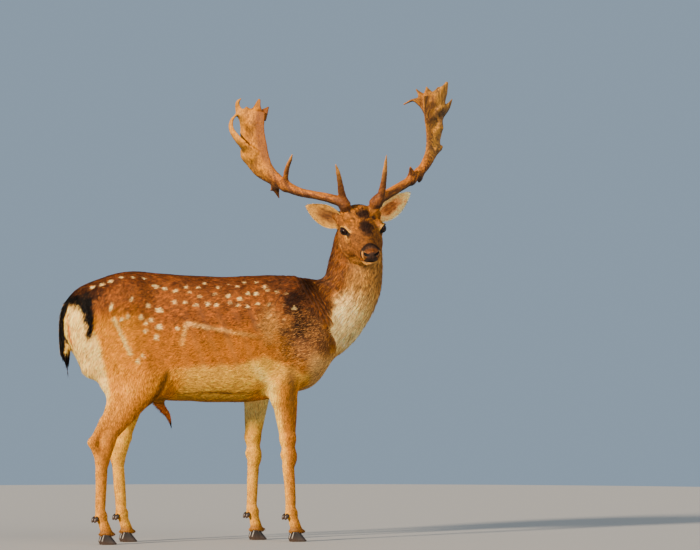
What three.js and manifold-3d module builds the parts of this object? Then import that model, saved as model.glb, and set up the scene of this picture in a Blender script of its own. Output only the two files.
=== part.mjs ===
// A life-size standing fallow buck, head turned to its right, as one group of named solids.
// Millimetres, +Z up, +X the way the body faces, +Y its left. The hooves stand on z = 0.
// The flesh is one smooth field of blended muscles and bones. Each named part of it is a closed mesh
// of that field, trimmed by flat cuts. Antlers, ears, eyes, hooves, tail and sheath are shapes of their own.
import * as THREE from "three";
import { mergeVertices } from "three/addons/utils/BufferGeometryUtils.js";
import Module from "manifold-3d";

const wasm = await Module();
wasm.setup();

// ---------------------------------------------------------------- driving dimensions

const GAP = 0.5; // clearance between neighbouring solids
const FINISH = 0.12; // how far the last thinning of a mesh may move it
const FAR = 3000; // size of the blocks that make a flat cut
const EGG = 0.16; // how much narrower the trunk is along the back than along the ribs

// Trunk from rump to breast: [x, height of the back, height of the belly, half width].
const TRUNK = [
  [-500, 772, 700, 40],
  [-480, 820, 664, 70],
  [-440, 856, 622, 100],
  [-380, 884, 582, 121],
  [-300, 905, 545, 131],
  [-240, 910, 504, 134],
  [-160, 903, 478, 141],
  [-60, 895, 470, 149],
  [60, 890, 466, 150],
  [160, 893, 468, 142],
  [240, 895, 480, 129],
  [320, 886, 500, 110],
  [380, 879, 536, 92],
  [430, 848, 600, 76],
  [470, 796, 660, 52],
];

// Neck from the chest up to the skull: [x, y, z, half depth, half width, turn of the throat],
// the turn being to the right, in degrees.
const NECK = [
  [330, 0, 676, 122, 98, 0],
  [446, 0, 748, 119, 90, 0],
  [519, -4, 846, 102, 79, 8],
  [533, -12, 925, 95, 73, 28],
  [532, -32, 1000, 85, 70, 55],
  [522, -58, 1042, 69, 67, 80],
];

// The head's own frame: between the eyes, x to the nose, y to the animal's left, z out of the forehead.
const HEAD = { at: [509, -150, 1048], turn: -97.8, nod: 32, roll: 4.5 };
const EYE = { at: [3, 60, 2], radius: 17 };

// Joints of each leg, from the body down: [x, y, z]. The feet stand at z = 0.
const HIND = {
  right: {
    hip: [-375, -72, 750],
    stifle: [-230, -107, 538],
    hock: [-388, -88, 318],
    fetlock: [-398, -90, 98],
    foot: [-372, -92, 0],
  },
  left: {
    hip: [-356, 72, 750],
    stifle: [-194, 107, 536],
    hock: [-274, 88, 318],
    fetlock: [-264, 90, 98],
    foot: [-238, 92, 0],
  },
};
const FORE = {
  right: {
    shoulder: [352, -92, 640],
    elbow: [236, -94, 532],
    knee: [268, -86, 282],
    fetlock: [276, -88, 98],
    foot: [300, -90, 0],
  },
  left: {
    shoulder: [338, 92, 640],
    elbow: [212, 92, 532],
    knee: [204, 86, 282],
    fetlock: [200, 88, 98],
    foot: [222, 90, 0],
  },
};
const SCAPULA_TOP = [296, 52, 838];
const HIND_JOINT = 268; // heights at which the lower legs begin
const FORE_JOINT = 236;
const SHIN_CELL = [11.5, 11.5, 31];

const TAIL = {
  points: [[-446, 0, 816], [-478, 0, 800], [-495, 0, 752], [-496, 0, 690], [-493, 0, 640], [-486, 0, 600]],
  wide: [20, 22, 23, 23, 22, 8],
  thick: [15, 17, 19, 20, 20, 7],
};
const SHEATH = {
  points: [[-178, 0, 486], [-154, 0, 456], [-130, 0, 424], [-118, 0, 382]],
  radii: [22, 19, 12, 2],
};

const EAR = { width: 39, wall: 2.6, cup: 22 };
const EAR_REACH = {
  right: [[-82, 66, -18], [-150, 166, 9]],
  left: [[-82, 72, -5], [-138, 183, 40]],
};

// Antlers in the head's frame, y outward from the skull: the stem from burr to palm top, then its branches.
// wide and thick are the stem's half sizes; palm is the share of the stem where the palm begins.
const ANTLER = {
  right: {
    stem: [
      [-60, 50, 44],
      [-66, 58, 64],
      [-98, 98, 68],
      [-132, 142, 62],
      [-166, 187, 56],
      [-208, 230, 59],
      [-250, 268, 71],
      [-292, 298, 91],
      [-340, 314, 132],
      [-382, 316, 181],
      [-413, 307, 230],
    ],
    wide: [17, 19, 16, 15, 15.5, 19, 28, 43, 52, 49, 46],
    thick: [17, 17.5, 14.5, 13.5, 13.5, 14.5, 13, 9.5, 7.5, 7, 6],
    palm: 0.56,
    brow: {
      points: [[-64, 52, 54], [-74, 61, 91], [-80, 69, 139], [-85, 76, 176], [-89, 84, 206]],
      radii: [16, 13, 9.5, 7.5, 2],
    },
    trez: {
      points: [[-205, 232, 54], [-210, 230, 87], [-213, 225, 124], [-212, 215, 158], [-210, 210, 179]],
      radii: [14, 10, 8, 6, 2],
    },
    spurs: [
      { points: [[-238, 250, 66], [-240, 254, 26], [-230, 246, -2]], radii: [14, 11, 2] },
      { points: [[-240, 254, 52], [-243, 262, 34], [-244, 272, 20]], radii: [10, 9, 2] },
    ],
    points: [
      {
        points: [
          [-326, 316, 112],
          [-356, 354, 142],
          [-385, 375, 160],
          [-410, 384, 174],
          [-425, 380, 192],
          [-433, 365, 209],
        ],
        radii: [24, 17, 12, 9, 7, 2],
      },
      {
        points: [[-388, 316, 182], [-428, 344, 208], [-452, 355, 228], [-458, 354, 244], [-457, 344, 258]],
        radii: [28, 17, 10, 7, 2],
      },
      { points: [[-394, 314, 196], [-423, 326, 222], [-433, 328, 236]], radii: [22, 13, 3] },
      { points: [[-404, 300, 216], [-425, 292, 246], [-433, 286, 263]], radii: [22, 12, 5] },
      { points: [[-398, 282, 212], [-409, 267, 234], [-414, 258, 243]], radii: [20, 12, 3] },
      { points: [[-324, 326, 96], [-346, 348, 96], [-360, 354, 108]], radii: [24, 12, 3] },
    ],
  },
  left: {
    stem: [
      [-60, 46, 44],
      [-66, 54, 64],
      [-98, 98, 67],
      [-135, 147, 69],
      [-170, 195, 74],
      [-210, 240, 88],
      [-250, 270, 109],
      [-288, 287, 136],
      [-328, 296, 175],
      [-362, 300, 222],
      [-386, 304, 258],
    ],
    wide: [17, 19, 17, 16, 16.5, 18, 25, 35, 46, 57, 60],
    thick: [17, 18, 16, 15, 14.5, 15, 13, 10, 8, 7, 6],
    palm: 0.6,
    brow: {
      points: [[-64, 60, 57], [-68, 71, 88], [-76, 79, 132], [-80, 83, 172], [-85, 87, 232]],
      radii: [16, 13, 10, 8.5, 2],
    },
    trez: { points: [[-168, 194, 70], [-170, 194, 98], [-166, 188, 124]], radii: [15, 12, 4] },
    spurs: [{ points: [[-196, 222, 82], [-194, 227, 60], [-190, 225, 50]], radii: [14, 11, 4] }],
    points: [
      {
        points: [[-350, 290, 210], [-364, 262, 244], [-368, 232, 262], [-363, 198, 252]],
        radii: [34, 20, 12, 2],
      },
      { points: [[-366, 290, 230], [-388, 262, 264], [-401, 247, 282]], radii: [30, 15, 3] },
      { points: [[-374, 296, 240], [-396, 286, 272], [-404, 282, 286]], radii: [32, 17, 3] },
      { points: [[-374, 308, 240], [-394, 316, 266], [-402, 322, 280]], radii: [34, 20, 6] },
      { points: [[-372, 316, 234], [-402, 340, 266], [-418, 354, 290]], radii: [36, 26, 8] },
      { points: [[-356, 318, 200], [-380, 350, 214], [-396, 370, 238]], radii: [34, 17, 2] },
      { points: [[-276, 290, 110], [-290, 314, 109], [-297, 322, 115]], radii: [18, 8, 3] },
      { points: [[-314, 300, 152], [-330, 322, 168], [-342, 324, 186]], radii: [20, 13, 5] },
    ],
  },
};

// One claw of a hoof, seen from the side with the coronet's middle at x = 0: heel, sole, toe, wall, coronet.
const CLAW = {
  outline: [[-24, 0], [28, 0], [31, 4], [4, 33], [-20, 29], [-28, 12]],
  width: 14,
  bevel: 3,
  apart: 12,
};
const DEWCLAW = { radii: [7, 6, 12], back: 22, apart: 13, height: 84, tilt: 29 };

const COLOURS = {
  coat: [0xa8662f, 0.85],
  pale: [0xd9c39a, 0.88],
  ear: [0xb08a5a, 0.85],
  antler: [0xa9703a, 0.55],
  horn: [0x2b211b, 0.45],
  eye: [0x120c08, 0.08],
  tail: [0x2a1c14, 0.85],
};

// ---------------------------------------------------------------- small helpers

const vec = (a) => new THREE.Vector3(...a);
const mirror = ([x, y, z], side) => [x, y * side, z];
const mix = THREE.MathUtils.lerp;

/** Value at share t of a list of evenly spaced values, joined by straight lines. */
function along(list, t) {
  const at = THREE.MathUtils.clamp(t, 0, 1) * (list.length - 1);
  const i = Math.min(Math.floor(at), list.length - 2);
  return mix(list[i], list[i + 1], at - i);
}

/** Cubic value at x of a table of rows, by the column, with flat ends. */
function atStation(rows, x, column) {
  const last = rows.length - 1;
  if (x <= rows[0][0]) return rows[0][column];
  if (x >= rows[last][0]) return rows[last][column];
  const i = rows.findIndex((r) => r[0] > x) - 1;
  const slope = (j) => {
    const a = rows[Math.max(j - 1, 0)];
    const b = rows[Math.min(j + 1, last)];
    return (b[column] - a[column]) / (b[0] - a[0]);
  };
  const step = rows[i + 1][0] - rows[i][0];
  const t = (x - rows[i][0]) / step;
  const rise = t * t * (3 - 2 * t);
  return (
    mix(rows[i][column], rows[i + 1][column], rise) +
    step * (slope(i) * t * (1 - t) ** 2 - slope(i + 1) * t * t * (1 - t))
  );
}

/** Smooth union of two distances, with a fillet of about size k. */
function fuse(a, b, k) {
  const h = Math.max(k - Math.abs(a - b), 0) / k;
  return Math.min(a, b) - (h * h * k) / 4;
}

// ---------------------------------------------------------------- the field of the flesh

/** Signed distance from an ellipse-like section: length of the offset, and its ratio to the rim. */
const rim = (length, ratio) => (ratio < 1e-6 ? -FAR : length - length / ratio);

/** An ellipsoid. */
function egg(centre, radii, blend) {
  const c = vec(centre);
  const r = vec(radii);
  const d = new THREE.Vector3();
  return { blend, distance: (p) => rim(d.subVectors(p, c).length(), d.divide(r).length()) };
}

/** A tapered rod from a to b with round ends, its side-to-side size being flat times the other one. */
function rod(a, b, ra, rb, flat, blend) {
  const start = vec(a);
  const axis = vec(b).sub(start);
  const lengthSq = axis.lengthSq();
  const d = new THREE.Vector3();
  return {
    blend,
    distance: (p) => {
      const t = THREE.MathUtils.clamp(d.subVectors(p, start).dot(axis) / lengthSq, 0, 1);
      d.addScaledVector(axis, -t);
      const length = d.length();
      d.y /= flat;
      return rim(length, d.length() / mix(ra, rb, t));
    },
  };
}

/** The trunk, a loft of egg-shaped sections. */
function trunkField(blend) {
  const [first, last] = [TRUNK[0][0], TRUNK.at(-1)[0]];
  return {
    blend,
    distance: (p) => {
      const [top, bottom, half] = [1, 2, 3].map((column) => atStation(TRUNK, p.x, column));
      const rise = (p.z - (top + bottom) / 2) / ((top - bottom) / 2);
      const side = (p.y / half) * (1 + EGG * THREE.MathUtils.clamp(rise, -1, 1));
      const ratio = (Math.abs(side) ** 2.3 + Math.abs(rise) ** 2.3) ** (1 / 2.3);
      const inside = rim(Math.hypot(p.y, p.z - (top + bottom) / 2), ratio);
      const beyond = Math.max(p.x - last, first - p.x, 0);
      return beyond > 0 ? Math.hypot(Math.max(inside, 0), beyond) : inside;
    },
  };
}

/** The neck, an ellipse swept up a curve while its deep axis turns with the throat. */
function neckField(blend) {
  const STEPS = 28;
  const curve = new THREE.CatmullRomCurve3(NECK.map((n) => vec(n)));
  const stations = Array.from({ length: STEPS + 1 }, (_, i) => {
    const t = i / STEPS;
    const at = curve.getPoint(t);
    const tangent = curve.getTangent(t);
    const turn = THREE.MathUtils.degToRad(along(NECK.map((n) => n[5]), t));
    const deep = new THREE.Vector3(Math.cos(turn), -Math.sin(turn), 0);
    deep.addScaledVector(tangent, -deep.dot(tangent)).normalize();
    const side = tangent.clone().cross(deep);
    const [depth, width] = [3, 4].map((column) => along(NECK.map((n) => n[column]), t));
    return { at, deep, side, depth, width };
  });
  const d = new THREE.Vector3();
  const axis = new THREE.Vector3();
  return {
    blend,
    distance: (p) => {
      let best = Infinity;
      for (let i = 0; i < STEPS; i++) {
        const [a, b] = [stations[i], stations[i + 1]];
        axis.subVectors(b.at, a.at);
        const t = THREE.MathUtils.clamp(d.subVectors(p, a.at).dot(axis) / axis.lengthSq(), 0, 1);
        d.addScaledVector(axis, -t);
        const deep = mix(d.dot(a.deep), d.dot(b.deep), t) / mix(a.depth, b.depth, t);
        const side = mix(d.dot(a.side), d.dot(b.side), t) / mix(a.width, b.width, t);
        const length = d.length();
        const past = Math.abs(d.dot(axis)) / axis.length() / mix(a.width, b.width, t);
        best = Math.min(best, rim(length, Math.hypot(deep, side, past)));
      }
      return best;
    },
  };
}

/** Muscles and bones of one hind leg; side is -1 for the right and 1 for the left. */
function hindLeg(side, { hip, stifle, hock, fetlock, foot }) {
  const lean = hock[0] - HIND.right.hock[0]; // how far this leg is forward of the right one
  const heel = [hock[0] - 37, hock[1], hock[2] + 24];
  const at = (x, y, z) => [x + lean * 0.35, y * side, z];
  return [
    rod(at(-300, 62, 812), at(-415, 64, 770), 84, 74, 0.8, 40),
    rod(hip, [stifle[0] - 22, stifle[1] * 0.96, stifle[2] + 14], 118, 78, 0.56, 36),
    rod(at(-440, 56, 716), [hock[0] + 48, side * 82, 512], 66, 40, 0.66, 34),
    rod(at(-436, 52, 690), at(-420, 64, 598), 54, 42, 0.8, 30),
    rod([stifle[0] - 16, stifle[1], stifle[2] - 6], [hock[0] + 18, hock[1], hock[2] + 44], 57, 27, 0.66, 28),
    rod([hock[0] + 54, side * 84, 490], [hock[0] + 11, side * 86, 402], 36, 20, 0.66, 20),
    rod([hock[0] + 7, side * 86, 410], heel, 19, 15, 0.66, 14),
    rod(heel, [hock[0] - 9, hock[1], hock[2] - 34], 16, 21, 0.7, 14),
    rod([hock[0] + 16, hock[1], hock[2] + 30], [hock[0] - 2, hock[1], hock[2] - 40], 27, 23, 0.74, 14),
    ...shank([hock[0] - 4, hock[1], hock[2] - 30], fetlock, foot, 21, 17),
  ];
}

/** Muscles and bones of one foreleg. */
function foreLeg(side, { shoulder, elbow, knee, fetlock, foot }) {
  const top = mirror(SCAPULA_TOP, side);
  return [
    rod(top, shoulder, 52, 66, 0.52, 40),
    rod([top[0] - 30, side * 66, 760], [elbow[0] - 18, elbow[1] * 0.96, elbow[2] + 34], 74, 50, 0.52, 36),
    rod(shoulder, [elbow[0] + 12, elbow[1], elbow[2] + 20], 62, 56, 0.6, 34),
    rod([elbow[0] - 34, side * 90, elbow[2] + 14], [elbow[0] - 6, elbow[1], elbow[2] - 46], 25, 28, 0.7, 20),
    rod([elbow[0] + 10, elbow[1], elbow[2]], [knee[0] - 4, knee[1], knee[2] + 66], 52, 28, 0.72, 24),
    rod([knee[0] - 4, knee[1], knee[2] + 66], [knee[0] - 1, knee[1], knee[2] + 18], 26, 23, 0.82, 12),
    egg([knee[0] + 2, knee[1], knee[2]], [26, 23, 34], 12),
    egg([knee[0] - 20, knee[1], knee[2] + 10], [9, 9, 16], 10),
    ...shank([knee[0], knee[1], knee[2] - 16], fetlock, foot, 20, 16),
  ];
}

/** Cannon bone, fetlock and pastern, down to the coronet. */
function shank(top, fetlock, foot, upper, lower) {
  const low = [fetlock[0], fetlock[1], fetlock[2] + 30];
  const coronet = [foot[0] - 8, foot[1], 44];
  return [
    rod(top, low, upper, lower, 0.86, 10),
    rod([top[0] - 12, top[1], top[2] - 10], [fetlock[0] - 12, fetlock[1], fetlock[2] + 20], 11, 10, 0.8, 8),
    egg(fetlock, [22, 20, 24], 10),
    rod([fetlock[0] + 2, fetlock[1], fetlock[2] - 8], coronet, 17, 20, 1.02, 10),
    egg([foot[0] - 6, foot[1], 36], [29, 22, 11], 8),
  ];
}

/** Skull, face and jaw in the head's frame; pairs are made on both sides. */
function headFields() {
  const both = (make) => [make(1), make(-1)];
  return [
    egg([-58, 0, 0], [62, 62, 44], 16),
    rod([-52, 0, 8], [26, 0, -3], 42, 36, 1.48, 16),
    rod([18, 0, -5], [126, 0, -6], 38, 26, 1, 16),
    egg([136, 0, -6], [30, 37, 25], 12),
    rod([-30, 0, -50], [118, 0, -34], 36, 18, 1.05, 16),
    egg([130, 0, -40], [26, 26, 17], 8),
    egg([-8, 0, -82], [60, 57, 52], 24),
    egg([-102, 0, -28], [50, 56, 50], 24),
    egg([152, 0, -5], [14, 25, 19], 7),
    ...both((s) => rod([22, s * 30, -18], [112, s * 14, -14], 30, 22, 1, 14)),
    ...both((s) => rod([-38, s * 31, -56], [108, s * 13, -40], 35, 19, 1, 14)),
    ...both((s) => egg([-12, s * 42, -54], [60, 29, 48], 16)),
    ...both((s) => egg([128, s * 14, -22], [26, 18, 15], 10)),
    ...both((s) => egg([0, s * 56, 3], [31, 17, 25], 12)),
    ...both((s) => rod([30, s * 40, -16], [-72, s * 56, -14], 17, 17, 1, 12)),
    ...both((s) => rod([-52, s * 36, 18], [-62, s * 50, 46], 22, 20, 1, 10)),
    ...both((s) => rod([-80, s * 46, -8], [-108, s * 70, -10], 26, 18, 1, 14)),
    ...both((s) => egg([150, s * 18, -2], [13, 11, 11], 6)),
  ];
}

/** A turn about an axis, in degrees. */
const turnAbout = (axis, degrees) =>
  new THREE.Quaternion().setFromAxisAngle(vec(axis), THREE.MathUtils.degToRad(degrees));

const headFrame = new THREE.Matrix4().compose(
  vec(HEAD.at),
  turnAbout([0, 0, 1], HEAD.turn)
    .multiply(turnAbout([0, 1, 0], HEAD.nod))
    .multiply(turnAbout([1, 0, 0], HEAD.roll)),
  new THREE.Vector3(1, 1, 1),
);
const intoHead = headFrame.clone().invert();
const inHead = (point) => vec(point).applyMatrix4(headFrame);

const bodyFields = [
  trunkField(30),
  neckField(46),
  egg([350, 0, 608], [76, 72, 92], 40),
  ...hindLeg(-1, HIND.right),
  ...hindLeg(1, HIND.left),
  ...foreLeg(-1, FORE.right),
  ...foreLeg(1, FORE.left),
];
const skullFields = headFields();
const fused = (fields, p) => fields.reduce((sum, f) => fuse(sum, f.distance(p), f.blend), FAR);

/** The whole coat's surface: negative inside, in millimetres. */
function flesh(p) {
  const body = fused(bodyFields, p);
  const local = p.clone().applyMatrix4(intoHead);
  return local.length() > 330 ? body : fuse(body, fused(skullFields, local), 26);
}

// ---------------------------------------------------------------- meshing and cutting

/** Moves p onto the surface of the field, along its slope. */
function settle(field, p) {
  const STEP = 0.5;
  for (let round = 0; round < 3; round++) {
    const slope = new THREE.Vector3(
      field(p.clone().setX(p.x + STEP)) - field(p.clone().setX(p.x - STEP)),
      field(p.clone().setY(p.y + STEP)) - field(p.clone().setY(p.y - STEP)),
      field(p.clone().setZ(p.z + STEP)) - field(p.clone().setZ(p.z - STEP)),
    ).divideScalar(2 * STEP);
    if (slope.lengthSq() < 0.01) return p;
    const move = THREE.MathUtils.clamp(field(p) / slope.lengthSq(), -6, 6);
    p.addScaledVector(slope, -move);
  }
  return p;
}

/**
 * Closed mesh of field < 0 in the box low..high, with one vertex in each cell that the surface crosses.
 * The mesh is then thinned, moving by no more than slack.
 */
function meshField(field, low, high, cell, slack) {
  const count = low.map((v, k) => Math.ceil((high[k] - v) / cell[k]));
  const at = (i, j, k) => new THREE.Vector3(low[0] + i * cell[0], low[1] + j * cell[1], low[2] + k * cell[2]);
  const index = (i, j, k) => (k * (count[1] + 1) + j) * (count[0] + 1) + i;
  const values = new Float32Array((count[0] + 1) * (count[1] + 1) * (count[2] + 1));
  const onRim = (...ijk) => ijk.some((n, a) => n === 0 || n === count[a]);
  for (let k = 0; k <= count[2]; k++)
    for (let j = 0; j <= count[1]; j++)
      for (let i = 0; i <= count[0]; i++)
        values[index(i, j, k)] = onRim(i, j, k) ? Math.max(field(at(i, j, k)), 1) : field(at(i, j, k));

  const corners = [0, 1, 2, 3, 4, 5, 6, 7].map((n) => [n & 1, (n >> 1) & 1, n >> 2]);
  const steps = (a, b) => a.reduce((sum, v, q) => sum + Math.abs(v - b[q]), 0);
  const edges = corners.flatMap((a, m) =>
    corners.map((b, n) => [m, n]).filter(([, n]) => n > m && steps(a, corners[n]) === 1),
  );
  const vertexOf = new Map();
  const positions = [];
  for (let k = 0; k < count[2]; k++)
    for (let j = 0; j < count[1]; j++)
      for (let i = 0; i < count[0]; i++) {
        const around = corners.map(([x, y, z]) => values[index(i + x, j + y, k + z)]);
        const crossed = edges.filter(([m, n]) => around[m] < 0 !== around[n] < 0);
        if (!crossed.length) continue;
        const p = new THREE.Vector3();
        for (const [m, n] of crossed) {
          const t = around[m] / (around[m] - around[n]);
          const [a, b] = [corners[m], corners[n]].map(([x, y, z]) => at(i + x, j + y, k + z));
          p.addScaledVector(a.lerp(b, t), 1 / crossed.length);
        }
        const inner = [i, j, k].every((n, a) => n > 0 && n < count[a] - 1);
        if (inner) settle(field, p);
        vertexOf.set(index(i, j, k), positions.length / 3);
        positions.push(p.x, p.y, p.z);
      }

  const triangles = [];
  const UNITS = [[1, 0, 0], [0, 1, 0], [0, 0, 1]];
  for (let k = 0; k < count[2]; k++)
    for (let j = 0; j < count[1]; j++)
      for (let i = 0; i < count[0]; i++)
        UNITS.forEach((unit, a) => {
          const here = values[index(i, j, k)];
          const there = values[index(i + unit[0], j + unit[1], k + unit[2])];
          if (here < 0 === there < 0) return;
          const [u, v] = [UNITS[(a + 1) % 3], UNITS[(a + 2) % 3]];
          const cellAt = (du, dv) => {
            const [x, y, z] = [i, j, k].map((n, q) => n - du * u[q] - dv * v[q]);
            return vertexOf.get(index(x, y, z));
          };
          const quad = [cellAt(1, 1), cellAt(0, 1), cellAt(0, 0), cellAt(1, 0)];
          if (here > 0) quad.reverse();
          triangles.push(quad[0], quad[1], quad[2], quad[0], quad[2], quad[3]);
        });
  return solidOf(positions, triangles).simplify(slack);
}

/** A manifold-3d solid from plain arrays. */
function solidOf(positions, triangles) {
  const vertProperties = new Float32Array(positions);
  const triVerts = new Uint32Array(triangles);
  return new wasm.Manifold(new wasm.Mesh({ numProp: 3, vertProperties, triVerts }));
}

/** A manifold-3d solid from a closed three.js geometry. */
function solidFrom(geometry, matrix = new THREE.Matrix4()) {
  const bare = geometry.index ? geometry.toNonIndexed() : geometry.clone();
  bare.deleteAttribute("normal");
  bare.deleteAttribute("uv");
  const merged = mergeVertices(bare.applyMatrix4(matrix), 1e-3);
  return solidOf(merged.attributes.position.array, merged.index.array);
}

/** The box from low to high. */
function block(low, high) {
  const size = vec(high).sub(vec(low));
  const middle = vec(low).addScaledVector(size, 0.5);
  return solidFrom(new THREE.BoxGeometry(...size.toArray()), new THREE.Matrix4().setPosition(middle));
}

/** Everything on the side of a plane that its normal points to. */
function beyond(point, normal) {
  const turn = new THREE.Quaternion().setFromUnitVectors(new THREE.Vector3(0, 0, 1), vec(normal).normalize());
  const middle = vec(point).addScaledVector(vec(normal).normalize(), FAR / 2);
  const place = new THREE.Matrix4().compose(middle, turn, new THREE.Vector3(1, 1, 1));
  return solidFrom(new THREE.BoxGeometry(FAR, FAR, FAR), place);
}

/** The largest separate body of a solid. */
const main = (solid) => solid.decompose().reduce((a, b) => (b.volume() > a.volume() ? b : a));

// ---------------------------------------------------------------- swept shapes

/**
 * A closed tube through the points. Each ring is an ellipse, wide along `across` and thick across that.
 * grow makes it larger all over, for cutting its place out of a neighbour.
 */
function sweep({ points, wide, thick = wide, across = [0, 1, 0], rings, sides = 8, grow = 0 }) {
  const curve = new THREE.CatmullRomCurve3(points.map(vec));
  const positions = [];
  const triangles = [];
  for (let i = 0; i <= rings; i++) {
    const t = i / rings;
    const at = curve.getPoint(t);
    const tangent = curve.getTangent(t);
    if (i === 0) at.addScaledVector(tangent, -grow);
    if (i === rings) at.addScaledVector(tangent, grow);
    const u = vec(across);
    u.addScaledVector(tangent, -u.dot(tangent)).normalize();
    const v = tangent.clone().cross(u);
    for (let s = 0; s < sides; s++) {
      const angle = (s / sides) * 2 * Math.PI;
      const p = at
        .clone()
        .addScaledVector(u, Math.cos(angle) * (along(wide, t) + grow))
        .addScaledVector(v, Math.sin(angle) * (along(thick, t) + grow));
      positions.push(p.x, p.y, p.z);
    }
  }
  for (let i = 0; i < rings; i++)
    for (let s = 0; s < sides; s++) {
      const [a, b] = [i * sides + s, i * sides + ((s + 1) % sides)];
      triangles.push(a, b, b + sides, a, b + sides, a + sides);
    }
  const end = rings * sides;
  for (let s = 1; s < sides - 1; s++) triangles.push(0, s + 1, s, end, end + s, end + s + 1);
  return solidOf(positions, triangles);
}

/** The ear, a cupped leaf: rows of points up its back and down its front, closed at the rim. */
function ear(name, side) {
  const ROWS = 8;
  const COLUMNS = 6;
  const [root, tip] = EAR_REACH[name].map((p) => vec(mirror(p, side)));
  const reach = tip.sub(root);
  const axis = reach.clone().normalize();
  const front = new THREE.Vector3(0.84, side * 0.3, 0.4);
  front.addScaledVector(axis, -front.dot(axis)).normalize();
  const across = front.clone().cross(axis);
  const ring = COLUMNS * 2;
  const positions = [];
  const triangles = [];
  for (let i = 0; i <= ROWS; i++) {
    const t = i / ROWS;
    const half = EAR.width * Math.sin(Math.PI * (0.2 + 0.78 * t ** 0.9)) ** 0.85;
    const cup = EAR.cup * (1 - 0.72 * t) * Math.min(1, half / 20);
    const at = root.clone().addScaledVector(reach, t);
    for (let s = 0; s < ring; s++) {
      const angle = (s / ring) * 2 * Math.PI;
      const b = Math.cos(angle);
      const wall = EAR.wall * (1.5 - 0.6 * t) * Math.sin(angle);
      const p = at
        .clone()
        .addScaledVector(across, b * half)
        .addScaledVector(front, cup * (b * b - 0.6) + wall);
      positions.push(p.x, p.y, p.z);
    }
  }
  for (let i = 0; i < ROWS; i++)
    for (let s = 0; s < ring; s++) {
      const [a, b] = [i * ring + s, i * ring + ((s + 1) % ring)];
      triangles.push(a, b, b + ring, a, b + ring, a + ring);
    }
  const end = ROWS * ring;
  for (const [base, flip] of [[0, false], [end, true]])
    for (let s = 0; s < ring / 2; s++) {
      const [a, b, c, d] = [s, s + 1, (ring - s - 1) % ring, (ring - s) % ring].map((n) => base + n);
      const faces = [[a, c, b], [a, d, c]].filter((f) => new Set(f).size === 3);
      for (const f of faces) triangles.push(...(flip ? f.reverse() : f));
    }
  return solidOf(positions, triangles);
}

/** A solid joined with copies moved a small step each way, to cut a loose place for it. */
function shaken(solid, step) {
  const moves = [[0, 0, 0]];
  for (const x of [-step, step]) moves.push([x, 0, 0], [0, x, 0], [0, 0, x]);
  return wasm.Manifold.union(moves.map((by) => solid.translate(by)));
}

/** One claw of a hoof, `side` being which side of the foot's middle it is on. */
function claw(foot, side, grow = 0) {
  const shape = new THREE.Shape(CLAW.outline.map(([x, z]) => new THREE.Vector2(x, z + CLAW.bevel)));
  const geometry = new THREE.ExtrudeGeometry(shape, {
    depth: CLAW.width,
    bevelThickness: CLAW.bevel + grow,
    bevelSize: CLAW.bevel + grow,
    bevelSegments: 2,
  });
  const place = new THREE.Matrix4()
    .makeTranslation(foot[0] - 4, foot[1] + side * CLAW.apart + CLAW.width / 2, 0)
    .multiply(new THREE.Matrix4().makeRotationX(Math.PI / 2));
  return solidFrom(geometry, place);
}

/** One of the two small claws behind the fetlock. */
function dewclaw(fetlock, side, grow = 0) {
  const radii = vec(DEWCLAW.radii).addScalar(grow);
  const at = [fetlock[0] - DEWCLAW.back, fetlock[1] + side * DEWCLAW.apart, DEWCLAW.height];
  const place = new THREE.Matrix4().compose(vec(at), turnAbout([0, 1, 0], DEWCLAW.tilt), radii);
  return solidFrom(new THREE.SphereGeometry(1, 7, 4), place);
}

// ---------------------------------------------------------------- the named parts

const group = new THREE.Group();

/** Adds the main body of a solid, a little thinned, to the model as a named mesh. */
function add(name, solid, [colour, roughness]) {
  const mesh = main(solid.simplify(FINISH)).getMesh();
  const count = mesh.numVert;
  const positions = new Float32Array(count * 3);
  for (let i = 0; i < count; i++) {
    const from = i * mesh.numProp;
    positions.set(mesh.vertProperties.subarray(from, from + 3), i * 3);
  }
  const geometry = new THREE.BufferGeometry()
    .setAttribute("position", new THREE.BufferAttribute(positions, 3))
    .setIndex(new THREE.BufferAttribute(mesh.triVerts, 1));
  geometry.computeVertexNormals();
  const material = new THREE.MeshStandardMaterial({ color: colour, roughness, metalness: 0 });
  const made = new THREE.Mesh(geometry, material);
  made.name = name;
  group.add(made);
}

const turned = (solid) => solidFrom(bufferOf(solid), headFrame);

/** A bare three.js geometry of a solid. */
function bufferOf(solid) {
  const mesh = solid.getMesh();
  return new THREE.BufferGeometry()
    .setAttribute("position", new THREE.BufferAttribute(new Float32Array(mesh.vertProperties), 3))
    .setIndex(new THREE.BufferAttribute(mesh.triVerts, 1));
}

// Flat cuts: where the neck leaves the trunk and meets the head, and the room that each leg takes.
const NECK_CUT = { point: [412, 0, 760], normal: [0.86, 0, 0.51] };
const HEAD_CUT = {
  point: inHead([-88, 0, -50]).toArray(),
  normal: vec([0.8, 0, 0.6]).transformDirection(headFrame).toArray(),
};
const moved = (cut, by) => [
  vec(cut.point).addScaledVector(vec(cut.normal).normalize(), by).toArray(),
  cut.normal,
];

const SIDES = [["right", -1], ["left", 1]];

/** Room of a leg: a block outside the body's middle and below a height, larger by grow. */
function legRoom(side, x0, x1, inner, top, grow) {
  const [a, b] = [side * (inner - grow), side * 260].sort((p, q) => p - q);
  return block([x0 - grow, a, -20], [x1 + grow, b, top + grow]);
}
const hindRoom = (side, grow) => legRoom(side, -560, side < 0 ? -130 : -60, 34, 566, grow);
const foreRoom = (side, grow) => legRoom(side, 110, 345, 40, 520, grow);

/** Tail, sheath and ears as they stand, or grown to cut their places. */
const tail = (grow) => sweep({ ...TAIL, rings: 8, sides: 8, grow });
const sheath = (grow) => sweep({ points: SHEATH.points, wide: SHEATH.radii, rings: 6, sides: 8, grow });

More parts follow.
